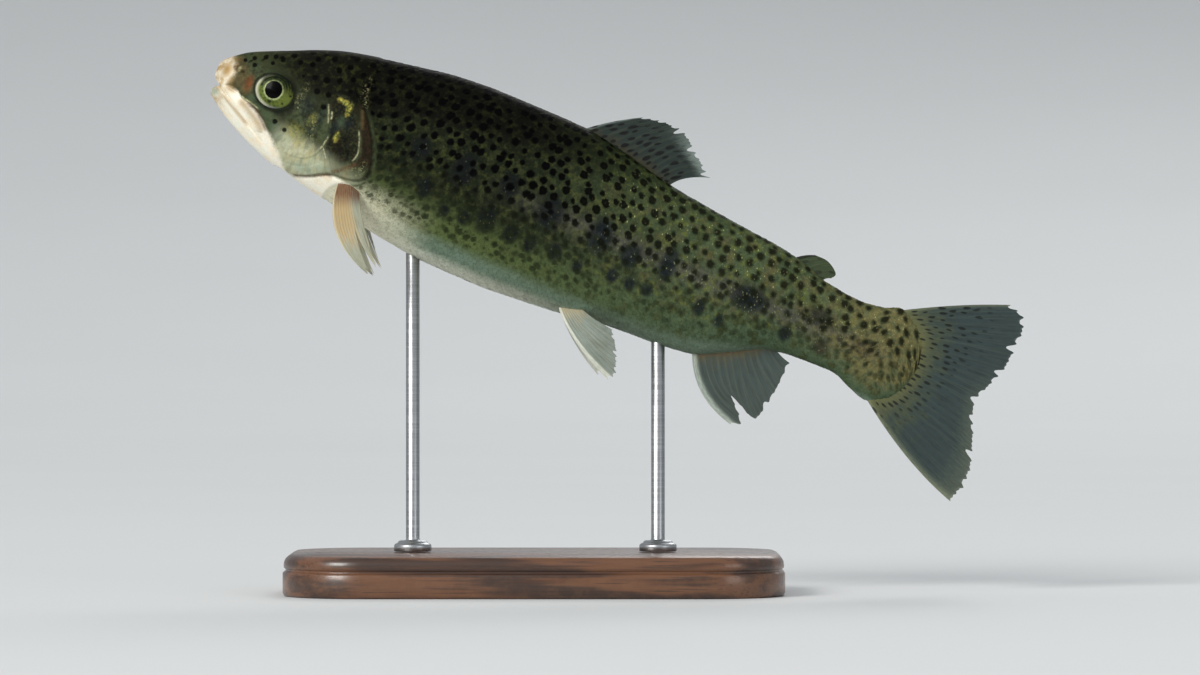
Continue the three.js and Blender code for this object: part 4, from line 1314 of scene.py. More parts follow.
@dataclass
class Graph:
    """A node tree being built, with short ways to add the nodes that the finishes use."""

    tree: NodeTree

    def add(self, kind: str, *values: Any, **settings: Any) -> bpy.types.Node:
        """Adds a node.

        Args:
            kind: the node's type.
            values: what its first inputs take, in their order; None leaves one as it is.
            settings: its own settings by name.

        Returns:
            The node.
        """
        node = self.tree.nodes.new(kind)
        for key, value in settings.items():
            setattr(node, key, value)
        for socket, value in zip(node.inputs, values):
            if value is not None:
                self.feed(socket, value)
        return node

    def feed(self, target: Socket, value: Any) -> None:
        """Links a socket to another, or sets its number, colour or vector.

        Args:
            target: the socket.
            value: the other socket, or the number, colour or vector.
        """
        if isinstance(value, Socket):
            self.tree.links.new(value, target)
        elif isinstance(value, tuple) and target.type == "RGBA":
            target.default_value = (*value[:3], 1.0)
        else:
            target.default_value = value

    def wire(self, sockets: Any, **values: Any) -> None:
        """Feeds sockets by name, where Base_Color stands for "Base Color"."""
        for key, value in values.items():
            self.feed(sockets[key.replace("_", " ")], value)

    def maths(self, operation: str, *values: Any) -> Socket:
        """A maths node's result."""
        return self.add("ShaderNodeMath", *values, operation=operation).outputs[0]

    def less(self, value: Any, taken: Any) -> Socket:
        """A number less another."""
        return self.maths("SUBTRACT", value, taken)

    def centred(self, value: Any) -> Socket:
        """A number from 0 to 1 as one from -0.5 to 0.5."""
        return self.less(value, 0.5)

    def sum(self, *values: Any) -> Any:
        """The sum of several numbers."""
        return reduce(partial(self.maths, "ADD"), values)

    def product(self, *values: Any) -> Any:
        """The product of several numbers."""
        return reduce(partial(self.maths, "MULTIPLY"), values)

    def highest(self, *values: Any) -> Any:
        """The highest of several numbers."""
        return reduce(partial(self.maths, "MAXIMUM"), values)

    def span(self, value: Any, low: Any, high: Any, to_low: Any = 0.0, to_high: Any = 1.0) -> Socket:
        """Smoothly maps low..high to to_low..to_high."""
        given = (value, low, high, to_low, to_high)
        return self.add("ShaderNodeMapRange", *given, interpolation_type="SMOOTHSTEP").outputs[0]

    def ease(self, value: Any, to_low: Any, to_high: Any) -> Socket:
        """Smoothly maps 0..1 to to_low..to_high."""
        return self.span(value, 0, 1, to_low, to_high)

    def mix(self, share: Any, first: Any, second: Any, blend: str = "MIX") -> Socket:
        """Mixes two colours, with a share of the second from 0 to 1."""
        values = (share, *MIX_GAP, first, second)
        return self.add("ShaderNodeMix", *values, data_type="RGBA", blend_type=blend).outputs[MIX_RESULT]

    def layered(self, ground: Any, *coats: tuple[Any, Any]) -> Any:
        """Coats of colour laid over a ground in turn, each a share and a colour."""
        return reduce(lambda under, coat: self.mix(coat[0], under, coat[1]), coats, ground)

    def filtered(self, share: Any, colour: Any, glass: Any) -> Socket:
        """A colour, seen partly through glass of another colour."""
        return self.mix(share, colour, self.mix(1, colour, glass, "MULTIPLY"))

    def split(self, vector: Socket) -> list[Socket]:
        """The three numbers of a vector or a colour."""
        return list(self.add("ShaderNodeSeparateXYZ", vector).outputs)

    def vector(self, name: str) -> Socket:
        """A vector that the mesh carries."""
        return self.add("ShaderNodeAttribute", attribute_name=name).outputs["Vector"]

    def parts(self, name: str) -> list[Socket]:
        """The three numbers of a vector that the mesh carries."""
        return self.split(self.vector(name))

    def join(self, x: Any, y: Any, z: Any = 0.0) -> Socket:
        """A vector from three numbers."""
        return self.add("ShaderNodeCombineXYZ", x, y, z).outputs[0]

    def length(self, vector: Socket) -> Socket:
        """A vector's length."""
        return self.add("ShaderNodeVectorMath", vector, operation="LENGTH").outputs["Value"]

    def position(self) -> Socket:
        """The place in the scene, in metres."""
        return self.add("ShaderNodeNewGeometry").outputs["Position"]

    def scaled(self, *scale: float) -> Socket:
        """The place in the scene, scaled along each axis."""
        return self.add("ShaderNodeMapping", self.position(), None, None, scale).outputs[0]

    def noise(self, vector: Any, scale: float, detail: float = 3, rough: float = 0.55) -> Socket:
        """Cloudy noise from 0 to 1, with some finer layers and how strong they are."""
        return self.add("ShaderNodeTexNoise", vector, None, scale, detail, rough).outputs[0]

    def bump(self, height: Any, strength: float, distance: float) -> Socket:
        """A normal bent by a height, where a height of 1 is a distance in metres."""
        return self.add("ShaderNodeBump", strength, distance, None, height).outputs[0]

    def call(self, group: NodeTree, **values: Any) -> dict[str, Socket]:
        """Places a node group.

        Args:
            group: the group.
            values: its inputs by name, as wire() takes them.

        Returns:
            Its outputs by name.
        """
        node = self.add("ShaderNodeGroup", node_tree=group)
        self.wire(node.inputs, **values)
        return {socket.name: socket for socket in node.outputs}


class SocketKind(Enum):
    """What a group's socket carries."""

    NUMBER = "NodeSocketFloat"
    COLOUR = "NodeSocketColor"


Kinds = dict[str, SocketKind]


def open_group(name: str, inputs: Kinds,
               outputs: Kinds) -> tuple[Graph, SimpleNamespace, dict[str, Socket]]:
    """Starts a shader node group with named inputs and outputs.

    Args:
        name: the group's name.
        inputs: what each input carries, by name.
        outputs: what each output carries, by name.

    Returns:
        The group's graph, its input sockets, where Spot_size is "Spot size", and its outputs by name.
    """
    tree = bpy.data.node_groups.new(name, "ShaderNodeTree")
    for in_out, sockets in (("INPUT", inputs), ("OUTPUT", outputs)):
        for label, kind in sockets.items():
            tree.interface.new_socket(label, in_out=in_out, socket_type=kind.value)
    graph = Graph(tree)
    entry, leave = graph.add("NodeGroupInput"), graph.add("NodeGroupOutput")
    given = SimpleNamespace(**{s.name.replace(" ", "_"): s for s in entry.outputs if s.name})
    return graph, given, {s.name: s for s in leave.inputs if s.name}


def open_material(name: str, **constants: float) -> tuple[Material, Graph, Any]:
    """Starts a material with one principled shader.

    Args:
        name: the material's name.
        constants: values for the shader's own sockets, as Graph.wire() takes them.

    Returns:
        The material, its graph and its shader's inputs by name.
    """
    material = bpy.data.materials.new(name)
    material.use_nodes = True
    graph, shader = Graph(material.node_tree), material.node_tree.nodes["Principled BSDF"]
    graph.wire(shader.inputs, **constants)
    return material, graph, shader.inputs


# ---------------------------------------------------------------- finishes


@dataclass(frozen=True)
class TroutPalette:
    """The trout's colours."""

    Back: Colour = shade(13, 13, 9)
    Rump: Colour = shade(58, 70, 44)
    Flank: Colour = shade(28, 33, 22)
    Rear: Colour = shade(79, 92, 66)
    Lower: Colour = shade(84, 97, 58)
    Vent: Colour = shade(76, 93, 70)
    Belly: Colour = shade(112, 132, 114)
    Keel: Colour = shade(206, 211, 194)
    Breast: Colour = shade(224, 221, 194)
    Olive: Colour = shade(104, 112, 54)
    Jaw: Colour = shade(248, 243, 226)
    Snout: Colour = shade(168, 140, 94)
    Head: Colour = shade(21, 22, 16)
    Moss: Colour = shade(68, 74, 46)
    Cheek: Colour = shade(76, 84, 60)
    Silver: Colour = shade(194, 195, 164)
    Ice: Colour = shade(154, 174, 160)
    Teal: Colour = shade(84, 102, 78)
    Tan: Colour = shade(104, 88, 58)
    Cream: Colour = shade(172, 170, 124)
    # also the colour of the painted shade round the eye and in the nostril's pit
    Dusk: Colour = shade(16, 17, 14)
    Rose: Colour = shade(88, 85, 80)
    Parr: Colour = shade(30, 36, 40)
    Amber: Colour = shade(122, 113, 74)
    Spot: Colour = shade(2, 2, 2)
    Fleck: Colour = shade(34, 40, 24)
    Gold: Colour = shade(196, 182, 84)
    Red: Colour = shade(126, 72, 42)
    Blue: Colour = shade(27, 33, 38)
    Plate: Colour = shade(19, 22, 20)
    Plum: Colour = shade(38, 31, 25)
    Membrane: Colour = shade(48, 36, 26)
    Line: Colour = shade(92, 62, 42)
    # the colour of the painted highlights on the head
    Bright: Colour = shade(206, 204, 162)


def spot_net(g: Graph, across: Any, along: Any, spacing: float,
             scatter: float) -> tuple[Socket, Socket, Socket]:
    """A six-sided net of scattered points.

    Args:
        g: the graph to build it in.
        across: the place in one direction.
        along: the place in the other.
        spacing: how far apart neighbours are.
        scatter: how far points stray from the net, 0 to 1.

    Returns:
        The distance to the nearest point, and two numbers from 0 to 1 drawn for that point.
    """
    tall = spacing * math.sqrt(3) / 2
    row = g.maths("DIVIDE", along, tall)
    column = g.less(g.maths("DIVIDE", across, spacing), g.product(row, 0.5))
    cells = g.add("ShaderNodeTexVoronoi", voronoi_dimensions="2D")
    g.wire(cells.inputs, Vector=g.join(column, row), Scale=1, Randomness=scatter)
    nearest = g.split(cells.outputs["Position"])
    up = g.less(row, nearest[1])
    right = g.sum(g.less(column, nearest[0]), g.product(up, 0.5))
    draw = g.split(cells.outputs["Color"])
    return g.length(g.join(g.product(right, spacing), g.product(up, tall))), draw[0], draw[1]


@dataclass
class TroutMarkings:
    """The trout's colours and spots as a node group, read from the masks that skin and scales carry.

    The group has an input for each colour of the palette, and the outputs Color, Dark (where black
    pigment lies), Silver (where the skin shines), Glint (where single scales sparkle) and Grain (a
    fine mottle).
    """

    spot_spacing: float = 3.65
    spot_scatter: float = 0.62
    fleck_spacing: float = 2.7
    fleck_scatter: float = 0.9
    shaded: Colour = (0.5, 0.56, 0.5)
    dirty: Colour = (0.6, 0.62, 0.56)
    warm: Colour = (1.0, 0.86, 0.7)
    cool: Colour = (0.74, 0.92, 1.0)
    clouded: Colour = (0.72, 0.72, 0.66)

    def __post_init__(self) -> None:
        """Opens the group, reads the masks and makes the noises that several parts share."""
        inputs = dict.fromkeys(TroutPalette.__dataclass_fields__, SocketKind.COLOUR)
        outputs = dict.fromkeys(("Dark", "Silver", "Glint", "Grain"), SocketKind.NUMBER)
        g, self.paint, self.out = open_group("Trout markings", inputs, {"Color": SocketKind.COLOUR} | outputs)
        read = {name: part for key, names in PACKED_MASKS.items() for name, part in zip(names, g.parts(key))}
        self.g, self.masks = g, SimpleNamespace(**read)
        self.rest = g.vector("rest")
        self.mottle = g.noise(self.rest, 0.55, 4, 0.6)
        self.grain = g.noise(self.rest, 2, 4, 0.65)
        self.fleck = g.noise(self.rest, 1.35, 1.5, 0.5)
        self.ragged = g.centred(g.noise(self.rest, 0.6, 3))
        x, girth = self.masks.x, self.masks.girth
        self.streak = g.noise(g.join(g.product(x, 1.1), girth, g.product(girth, 0.2)), 1.3, 3)
        self.pale_edge = g.span(g.sum(self.masks.pale, g.product(self.ragged, 0.35)), 0.1, 0.9)

    def find_spots(self) -> None:
        """Finds the spots: crisp on the back, small and soft below the lateral line, round on the head."""
        g, m = self.g, self.masks
        wobble = g.centred(g.noise(self.rest, 1.1, 2))
        distance, draw, size_draw = spot_net(g, g.sum(m.x, wobble), g.product(g.sum(m.girth, wobble), 0.95),
                                             self.spot_spacing, self.spot_scatter)
        kept = g.span(g.less(g.span(m.height, 0.14, 0.42, 0.6, 1.1), draw), -0.03, 0.03)
        size = g.product(m.radius, g.ease(size_draw, 0.76, 1.2), kept)
        size = g.sum(size, g.product(g.centred(g.noise(self.rest, 0.9, 2)), 0.5, kept))
        soft = g.highest(g.span(m.height, 0.62, 0.3, 0.3, 0.65), g.product(m.rear, 0.62))
        inside = g.less(size, distance)
        self.spot = g.product(g.span(inside, g.product(soft, -1), soft),
                              g.span(m.height, 0.2, 0.6, 0.66, 1), g.span(m.rear, 0.2, 1, 1, 0.94))
        self.heart = g.product(g.span(inside, 0.35, 1.1), m.rear, g.span(size_draw, 0.3, 0.8, 0, 0.4))

        near, pick, _ = spot_net(g, g.sum(m.x, g.product(wobble, 1.4)), g.sum(m.girth, wobble),
                                 self.fleck_spacing, self.fleck_scatter)
        band = g.product(g.span(m.height, 0.1, 0.2), g.span(m.height, 0.66, 0.42), g.span(m.pale, 0.5, 0.1))
        low_rear = g.product(m.rear, g.span(m.height, 0.04, 0.2), g.span(m.height, 0.75, 0.5), 0.55)
        where = g.highest(g.product(band, 0.85, g.ease(m.rear, 1, 0.6)), low_rear)
        self.small = g.product(g.span(g.less(g.ease(pick, 0.1, 1.15), near), -0.45, 0.5), where)

        head_edge = g.sum(m.head_spot, g.product(g.centred(self.fleck), 0.9, m.head_spot))
        crown = g.product(g.span(g.maths("ABSOLUTE", m.girth), 7.5, 6), g.span(m.x, 6, 9),
                          g.span(draw, 0.2, 0.25))
        crown_spot = g.span(g.less(g.ease(size_draw, 0.55, 0.95), distance), -0.15, 0.2)
        head_spot = g.highest(g.span(head_edge, 0.15, 0.9), g.product(crown_spot, crown))
        self.face_spot = g.product(head_spot, 0.92)

    def paint_trunk(self) -> None:
        """Paints the trunk, from the flank's ground colour to the spots on top."""
        g, m, paint, mottle = self.g, self.masks, self.paint, self.mottle
        patchy = g.product(g.span(g.noise(self.rest, 0.34, 3, 0.6), 0.52, 0.36), g.ease(m.rear, 0.35, 0.8))
        warmer = g.product(g.span(g.noise(self.rest, 0.26, 3, 0.6), 0.5, 0.64), m.rear,
                           g.span(m.height, 0.15, 0.4))
        olive = g.product(g.span(mottle, 0.48, 0.68), g.span(m.height, 0.14, 0.3), g.ease(m.rear, 0.2, 0.62))
        low = g.span(g.sum(m.height, g.product(self.ragged, 0.14)), 0.4, 0.16)
        flank = g.layered(
            g.mix(m.rear, paint.Flank, paint.Rear), (low, g.mix(m.rear, paint.Lower, paint.Vent)),
            (patchy, paint.Moss), (g.product(warmer, 0.4), paint.Tan), (g.product(m.rose, 0.7), paint.Rose),
            (olive, paint.Olive))
        flank = g.filtered(g.span(mottle, 0.48, 0.32, 0, 0.55), flank, self.shaded)
        slate = g.mix(g.span(m.rear, 0, 0.5, 0.35, 1), paint.Dusk, paint.Parr)
        belly = g.mix(g.span(m.keel, 0.2, 1), paint.Belly, paint.Keel)
        belly = g.mix(g.product(m.breast, g.span(self.grain, 0.3, 0.6, 0.6, 1)), belly, paint.Breast)
        amber = g.product(g.span(m.x, 180, 214), g.span(mottle, 0.36, 0.64, 0.25, 0.85))
        flank = g.layered(
            flank, (g.product(m.parr, g.span(mottle, 0.3, 0.6, 0.7, 1)), slate), (self.pale_edge, belly),
            (g.product(m.breast, g.span(self.grain, 0.35, 0.6, 0.3, 0.8)), paint.Breast),
            (g.product(amber, g.span(m.height, 0.02, 0.3)), paint.Amber))
        back = g.layered(
            g.mix(m.rear, paint.Back, paint.Rump), (g.product(amber, 0.6), paint.Amber),
            (g.product(g.span(mottle, 0.45, 0.7), g.span(m.rear, 0, 0.6, 0.06, 0.3)), paint.Olive))
        black = g.product(g.span(m.height, 0.25, 0.5), g.ease(m.rear, 1, 0.55))
        self.body = g.layered(g.mix(m.dark, flank, back), (self.small, paint.Fleck),
                              (self.spot, g.mix(black, paint.Fleck, paint.Spot)), (self.heart, paint.Plum))

    def paint_cheek(self) -> None:
        """Paints the head's dark top, green and dusky cheek with painted shade round the eye, gill cover and
        silver lower edge.
        """
        g, m, paint, mottle = self.g, self.masks, self.paint, self.mottle
        rays = g.noise(g.join(g.product(m.fan, 16), g.product(m.fan_reach, 0.3)), 1, 2)
        top = g.mix(g.span(m.x, 30, 43, 0, 0.9), paint.Head, paint.Back)
        top = g.mix(g.product(g.span(mottle, 0.45, 0.7), 0.14), top, paint.Olive)
        moss = g.product(g.span(m.x, 24, 7), g.span(mottle, 0.35, 0.65, 0.35, 0.9))
        shot = g.mix(g.span(mottle, 0.38, 0.62), paint.Plate, paint.Plum)
        shot = g.mix(g.span(self.fleck, 0.42, 0.68, 0, 0.5), shot, paint.Moss)
        hem = g.mix(g.span(self.streak, 0.36, 0.68, 0, 0.7), paint.Membrane, paint.Dusk)
        streaked = g.sum(g.product(rays, 0.6), g.product(g.sum(mottle, self.grain), 0.25))
        pearl = g.mix(g.span(streaked, 0.35, 0.65, 0.45, 1), paint.Cheek, paint.Silver)
        broken = g.span(mottle, 0.3, 0.6, 0.4, 1)
        speckle = g.product(g.sum(self.fleck, self.grain), 0.5)
        lines = g.highest(g.product(g.span(rays, 0.4, 0.68), m.silver), g.span(speckle, 0.5, 0.6, 0, 0.9))
        self.cheek = g.layered(
            g.mix(g.span(mottle, 0.34, 0.68, 0, 0.7), paint.Cheek, paint.Head),
            (m.dark, g.mix(moss, top, paint.Moss)), (g.product(m.plate, 0.9), shot),
            (g.product(m.membrane, 0.92), hem), (m.silver, pearl),
            (g.product(m.teal, broken, 0.6), g.mix(m.silver, paint.Teal, paint.Ice)),
            (g.product(m.blue, broken, 0.85), paint.Blue),
            (g.product(m.tan, g.span(mottle, 0.3, 0.6, 0.9, 0.55)), paint.Tan),
            # painted shade round the eye and in the nostril's pit, with the dark patches of the gill cover
            (g.product(m.dusk, g.span(mottle, 0.3, 0.6, 0.95, 0.7)), paint.Dusk),
            (g.product(m.gold, g.span(mottle, 0.3, 0.6, 0.4, 0.9)), paint.Olive),
            (g.product(m.gold, g.span(speckle, 0.42, 0.6)), paint.Gold),
            (g.product(m.cream, lines, g.ease(m.silver, 0.5, 0.8)), paint.Cream))

    def paint_face(self) -> None:
        """Paints the pale snout, jaw and throat beside the cheek, and the head's spots."""
        g, m, paint, mottle = self.g, self.masks, self.paint, self.mottle
        tip = g.product(g.span(m.x, 1.5, 9, 0.9, 0), g.span(mottle, 0.32, 0.62, 0.4, 1))
        jaw = g.mix(g.highest(tip, m.tan), paint.Jaw, paint.Snout)
        jaw = g.mix(g.product(m.teal, g.span(m.x, 8, 3), 0.7), jaw, paint.Ice)
        rough = g.highest(g.span(m.x, 11.5, 8), g.span(m.x, 19.5, 24), 0.12)
        rough = g.product(rough, g.centred(g.product(g.sum(mottle, self.grain), 0.5)), 1.8)
        border = g.product(m.pale, g.less(1, m.pale), 4)
        face = g.layered(
            g.mix(g.span(g.sum(m.pale, g.product(rough, border)), 0.05, 0.95), self.cheek, jaw),
            (g.product(m.brown, g.span(self.streak, 0.3, 0.65, 0.85, 0.5)), paint.Line),
            (g.product(m.red, g.span(mottle, 0.34, 0.66, 0.95, 0.6)), paint.Red))
        dirt = g.product(g.span(self.grain, 0.35, 0.65, 0, 0.45), g.ease(m.pale, 1, 0.5))
        face = g.filtered(dirt, face, self.dirty)
        face = g.filtered(g.span(g.noise(self.rest, 0.3, 3), 0.46, 0.68, 0, 0.5), face, self.warm)
        bluish = g.span(g.noise(self.rest, 0.47, 3), 0.48, 0.7, 0, 0.5)
        face = g.filtered(g.product(bluish, g.ease(m.pale, 1, 0.4)), face, self.cool)
        # painted highlights along the head's ridges and edges, broken up by the flecks
        bright = g.product(m.bright, g.span(self.fleck, 0.32, 0.6, 0.3, 0.9))
        self.face = g.layered(face, (bright, paint.Bright), (self.face_spot, paint.Spot))

    def build(self) -> NodeTree:
        """Builds the group.

        Returns:
            The group.
        """
        g, m = self.g, self.masks
        self.find_spots()
        self.paint_trunk()
        self.paint_cheek()
        self.paint_face()
        skin = g.mix(m.trunk, self.face, self.body)
        skin = g.filtered(g.span(g.noise(self.rest, 0.16, 4), 0.25, 0.75, 0, 0.2), skin, self.clouded)
        pigment = g.highest(g.mix(m.trunk, self.face_spot, self.spot),
                            g.product(m.dark, g.ease(m.rear, 0.8, 0.3)))
        shining = g.highest(self.pale_edge, g.product(m.bright, 0.8), g.product(m.rose, 0.5),
                            g.product(m.parr, 0.4), g.product(m.silver, 0.6))
        # where single scales get a painted highlight: the upper rear flank, and less on the parr marks and
        # the rose band
        upper = g.product(g.span(m.height, 0.5, 0.64), g.span(m.height, 1, 0.9), g.span(m.rear, 0.15, 0.6),
                          g.span(self.mottle, 0.42, 0.62, 0.15, 1))
        side = g.product(g.highest(m.parr, m.rose), g.span(m.rear, 0.1, 0.7, 0.12, 0.45))
        g.wire(self.out, Color=skin, Dark=pigment, Silver=g.product(shining, g.less(1, pigment)),
               Glint=g.highest(upper, side), Grain=self.grain)
        return g.tree


@dataclass(frozen=True)
class SkinFinish:
    """Moist skin of the head, and what shows of it between the scales."""

    markings: NodeTree
    palette: TroutPalette = TroutPalette()

    def material(self) -> Material:
        """Builds the material.

        Returns:
            The material.
        """
        made, g, sockets = open_material("Trout skin", Coat_Weight=0.05, Coat_IOR=1.25, Coat_Roughness=0.32,
                                         IOR=1.08)
        look = g.call(self.markings, **vars(self.palette))
        pores = g.product(g.noise(g.vector("rest"), 5, 2), 0.5)
        g.wire(sockets, Base_Color=look["Color"], Metallic=g.product(look["Silver"], 0.18),
               Roughness=g.span(look["Grain"], 0.3, 0.7, 0.46, 0.6),
               Normal=g.bump(g.sum(look["Grain"], pores), 0.2, 0.00005))
        return made


@dataclass(frozen=True)
class ScaleFinish:
    """Small shining scales in the skin's colours, some with a painted highlight."""

    markings: NodeTree
    palette: TroutPalette = TroutPalette()
    # the colour of the painted highlights on single scales
    glint: Colour = shade(204, 208, 150)
    rim: Colour = shade(120, 126, 108)
    shadow: Colour = (0.55, 0.56, 0.5)

    def material(self) -> Material:
        """Builds the material.

        Returns:
            The material.
        """
        made, g, sockets = open_material("Trout scales", Coat_Weight=0.06, Coat_IOR=1.25, Coat_Roughness=0.25,
                                         IOR=1.09)
        look = g.call(self.markings, **vars(self.palette))
        draw, rear, across = g.parts("scale")
        open_skin = g.less(1, look["Dark"])
        off_middle = g.maths("ABSOLUTE", across)
        middle = g.product(g.span(off_middle, 0.5, 0.1), g.span(rear, 0.45, 0.8))
        # painted highlight: the middles of some scales are mixed towards the glint colour, and made more
        # metallic
        lit = g.product(g.span(draw, 0.62, 0.95), look["Glint"], middle, g.ease(open_skin, 0.25, 0.9))
        colour = g.mix(lit, look["Color"], self.glint)
        colour = g.filtered(g.product(g.span(draw, 0.5, 0), 0.34), colour, self.shadow)
        edge = g.highest(g.span(rear, 0.72, 1), g.span(off_middle, 0.7, 1))
        colour = g.filtered(g.product(edge, open_skin, 0.5), colour, self.rim)
        growth_lines = g.maths("SINE", g.product(rear, 26))
        g.wire(sockets, Base_Color=colour,
               Metallic=g.highest(g.product(look["Silver"], 0.3), g.product(lit, 0.5)),
               Roughness=g.ease(g.product(draw, open_skin), 0.56, 0.34),
               Normal=g.bump(g.sum(growth_lines, across), 0.1, 0.00005))
        return made


# what clouds and streaks the fins' web
WEB_CLOUD: Colour = (0.6, 0.64, 0.64)
WEB_STREAK: Colour = (0.55, 0.5, 0.42)


def fin_rays() -> NodeTree:
    """Colour and cover of a fin: rays over a thin web, spots along them, and what tints its parts.

    Returns:
        A group with the outputs Color, Cover (how opaque it is) and Ribs (a height for the joints of
        the rays). Its inputs are the colours; the strength, size, gap and reach of the spots, and how
        much less they reach at the rear ray; how pale the rear rays' tips are; how far the base's
        colour, the front and rear edges and the middle's tint reach, as shares of the fin; how much
        of that tint keeps to the front; and how clear the web is.
    """
    colours = ("Web", "Ray", "Base", "Edge", "Spot", "Tint")
    numbers = ("Spots", "Spot size", "Spot gap", "Spot reach", "Spot slope", "Pale tips", "Base reach",
               "Front edge", "Rear edge", "Tint reach", "Front tint", "Clearness")
    kinds = dict.fromkeys(colours, SocketKind.COLOUR) | dict.fromkeys(numbers, SocketKind.NUMBER)
    outputs = {"Color": SocketKind.COLOUR, "Cover": SocketKind.NUMBER, "Ribs": SocketKind.NUMBER}
    g, given, out = open_group("Fin rays", kinds, outputs)
    share, r, ray = g.parts("fin")
    across, along, _ = g.parts("fin_site")
    fine = g.noise(g.join(g.product(across, 2.6), g.product(along, 0.5)), 1, 4, 0.6)
    cloud = g.noise(g.join(across, along), 0.3, 3)
    streaks = g.noise(g.join(g.product(across, 1.7), g.product(along, 0.11)), 1, 3)
    shown = g.product(ray, g.span(cloud, 0.3, 0.65, 0.35, 1), g.span(fine, 0.3, 0.7, 0.5, 1))
    colour = g.filtered(g.span(cloud, 0.35, 0.7, 0, 0.4), g.mix(shown, given.Web, given.Ray), WEB_CLOUD)
    colour = g.filtered(g.span(streaks, 0.48, 0.66, 0, 0.45), colour, WEB_STREAK)

    tinted = g.span(g.sum(given.Tint_reach, g.product(g.centred(cloud), 0.5)), g.less(r, 0.16),
                    g.sum(r, 0.16))
    to_front = g.ease(given.Front_tint, 1, g.span(share, 0.42, 0.68, 1, 0))
    base = g.span(g.less(given.Base_reach, r), -0.1, 0.1)
    front = g.span(g.less(given.Front_edge, share), -0.02, 0.03)
    rear = g.span(g.less(g.sum(share, given.Rear_edge), 1), -0.02, 0.03)
    lead = g.highest(front, rear)
    tips = g.product(g.span(g.sum(r, g.product(g.centred(fine), 0.3)), 0.74, 1), g.span(share, 0.25, 0.75),
                     given.Pale_tips)

    net, draw, size_draw = spot_net(g, g.maths("DIVIDE", across, given.Spot_gap),
                                    g.maths("DIVIDE", along, g.product(given.Spot_gap, 1.6)), 1, 0.5)
    reach = g.less(given.Spot_reach, g.product(given.Spot_slope, share))
    fading = g.span(r, g.less(reach, 0.3), g.sum(reach, 0.1), 1, 0)
    size = g.product(given.Spot_size, g.ease(size_draw, 0.7, 1.2), g.ease(fading, 0.5, 1))
    inside = g.sum(g.less(size, g.product(net, given.Spot_gap)), g.product(g.centred(fine), 0.35))
    spot = g.product(g.span(inside, -0.16, 0.16), given.Spots, fading, g.span(draw, 0.04, 0.1))
    colour = g.layered(
        colour, (g.product(tinted, to_front, g.span(fine, 0.3, 0.65, 0.25, 0.9)), given.Tint),
        (g.product(base, g.span(fine, 0.25, 0.65, 0.5, 1)), given.Base), (tips, given.Edge),
        (g.product(lead, g.span(fine, 0.3, 0.7, 0.5, 0.95)), given.Edge), (spot, given.Spot))

    solid = g.highest(g.span(r, 0.3, 0.02), g.product(ray, 0.8), spot, g.product(lead, 0.9))
    clear = g.product(given.Clearness, g.span(solid, 0.2, 0.9, 1, 0.12), g.ease(r, 0.6, 1))
    joints = g.product(g.maths("SINE", g.product(along, 9)), ray, 0.5)
    g.wire(out, Color=colour, Cover=g.less(1, clear), Ribs=g.sum(joints, fine))
    return g.tree


@dataclass(frozen=True)
class FinFinish:
    """A fin's membrane and rays."""

    name: str
    rays: NodeTree
    web: Colour
    ray: Colour
    base: Colour
    edge: Colour
    spot: Colour = shade(16, 18, 16)
    tint: Colour = shade(112, 84, 54)
    spots: float = 0.0
    spot_size: float = 0.6
    spot_gap: float = 2.5
    spot_reach: float = 0.7
    spot_slope: float = 0.0
    pale_tips: float = 0.0
    base_reach: float = 0.1
    front_edge: float = -0.1
    rear_edge: float = -0.1
    tint_reach: float = -0.6
    front_tint: float = 0.0
    clearness: float = 0.2

    def material(self) -> Material:
        """Builds the material.

        Returns:
            The material.
        """
        made, g, sockets = open_material(self.name, Roughness=0.44, Coat_Weight=0.3, Coat_IOR=1.25,
                                         Coat_Roughness=0.2, IOR=1.28)
        given = {key.capitalize(): value for key, value in vars(self).items() if key not in ("name", "rays")}
        look = g.call(self.rays, **given)
        g.wire(sockets, Base_Color=look["Color"], Alpha=look["Cover"],
               Normal=g.bump(look["Ribs"], 0.3, 0.0001))
        return made


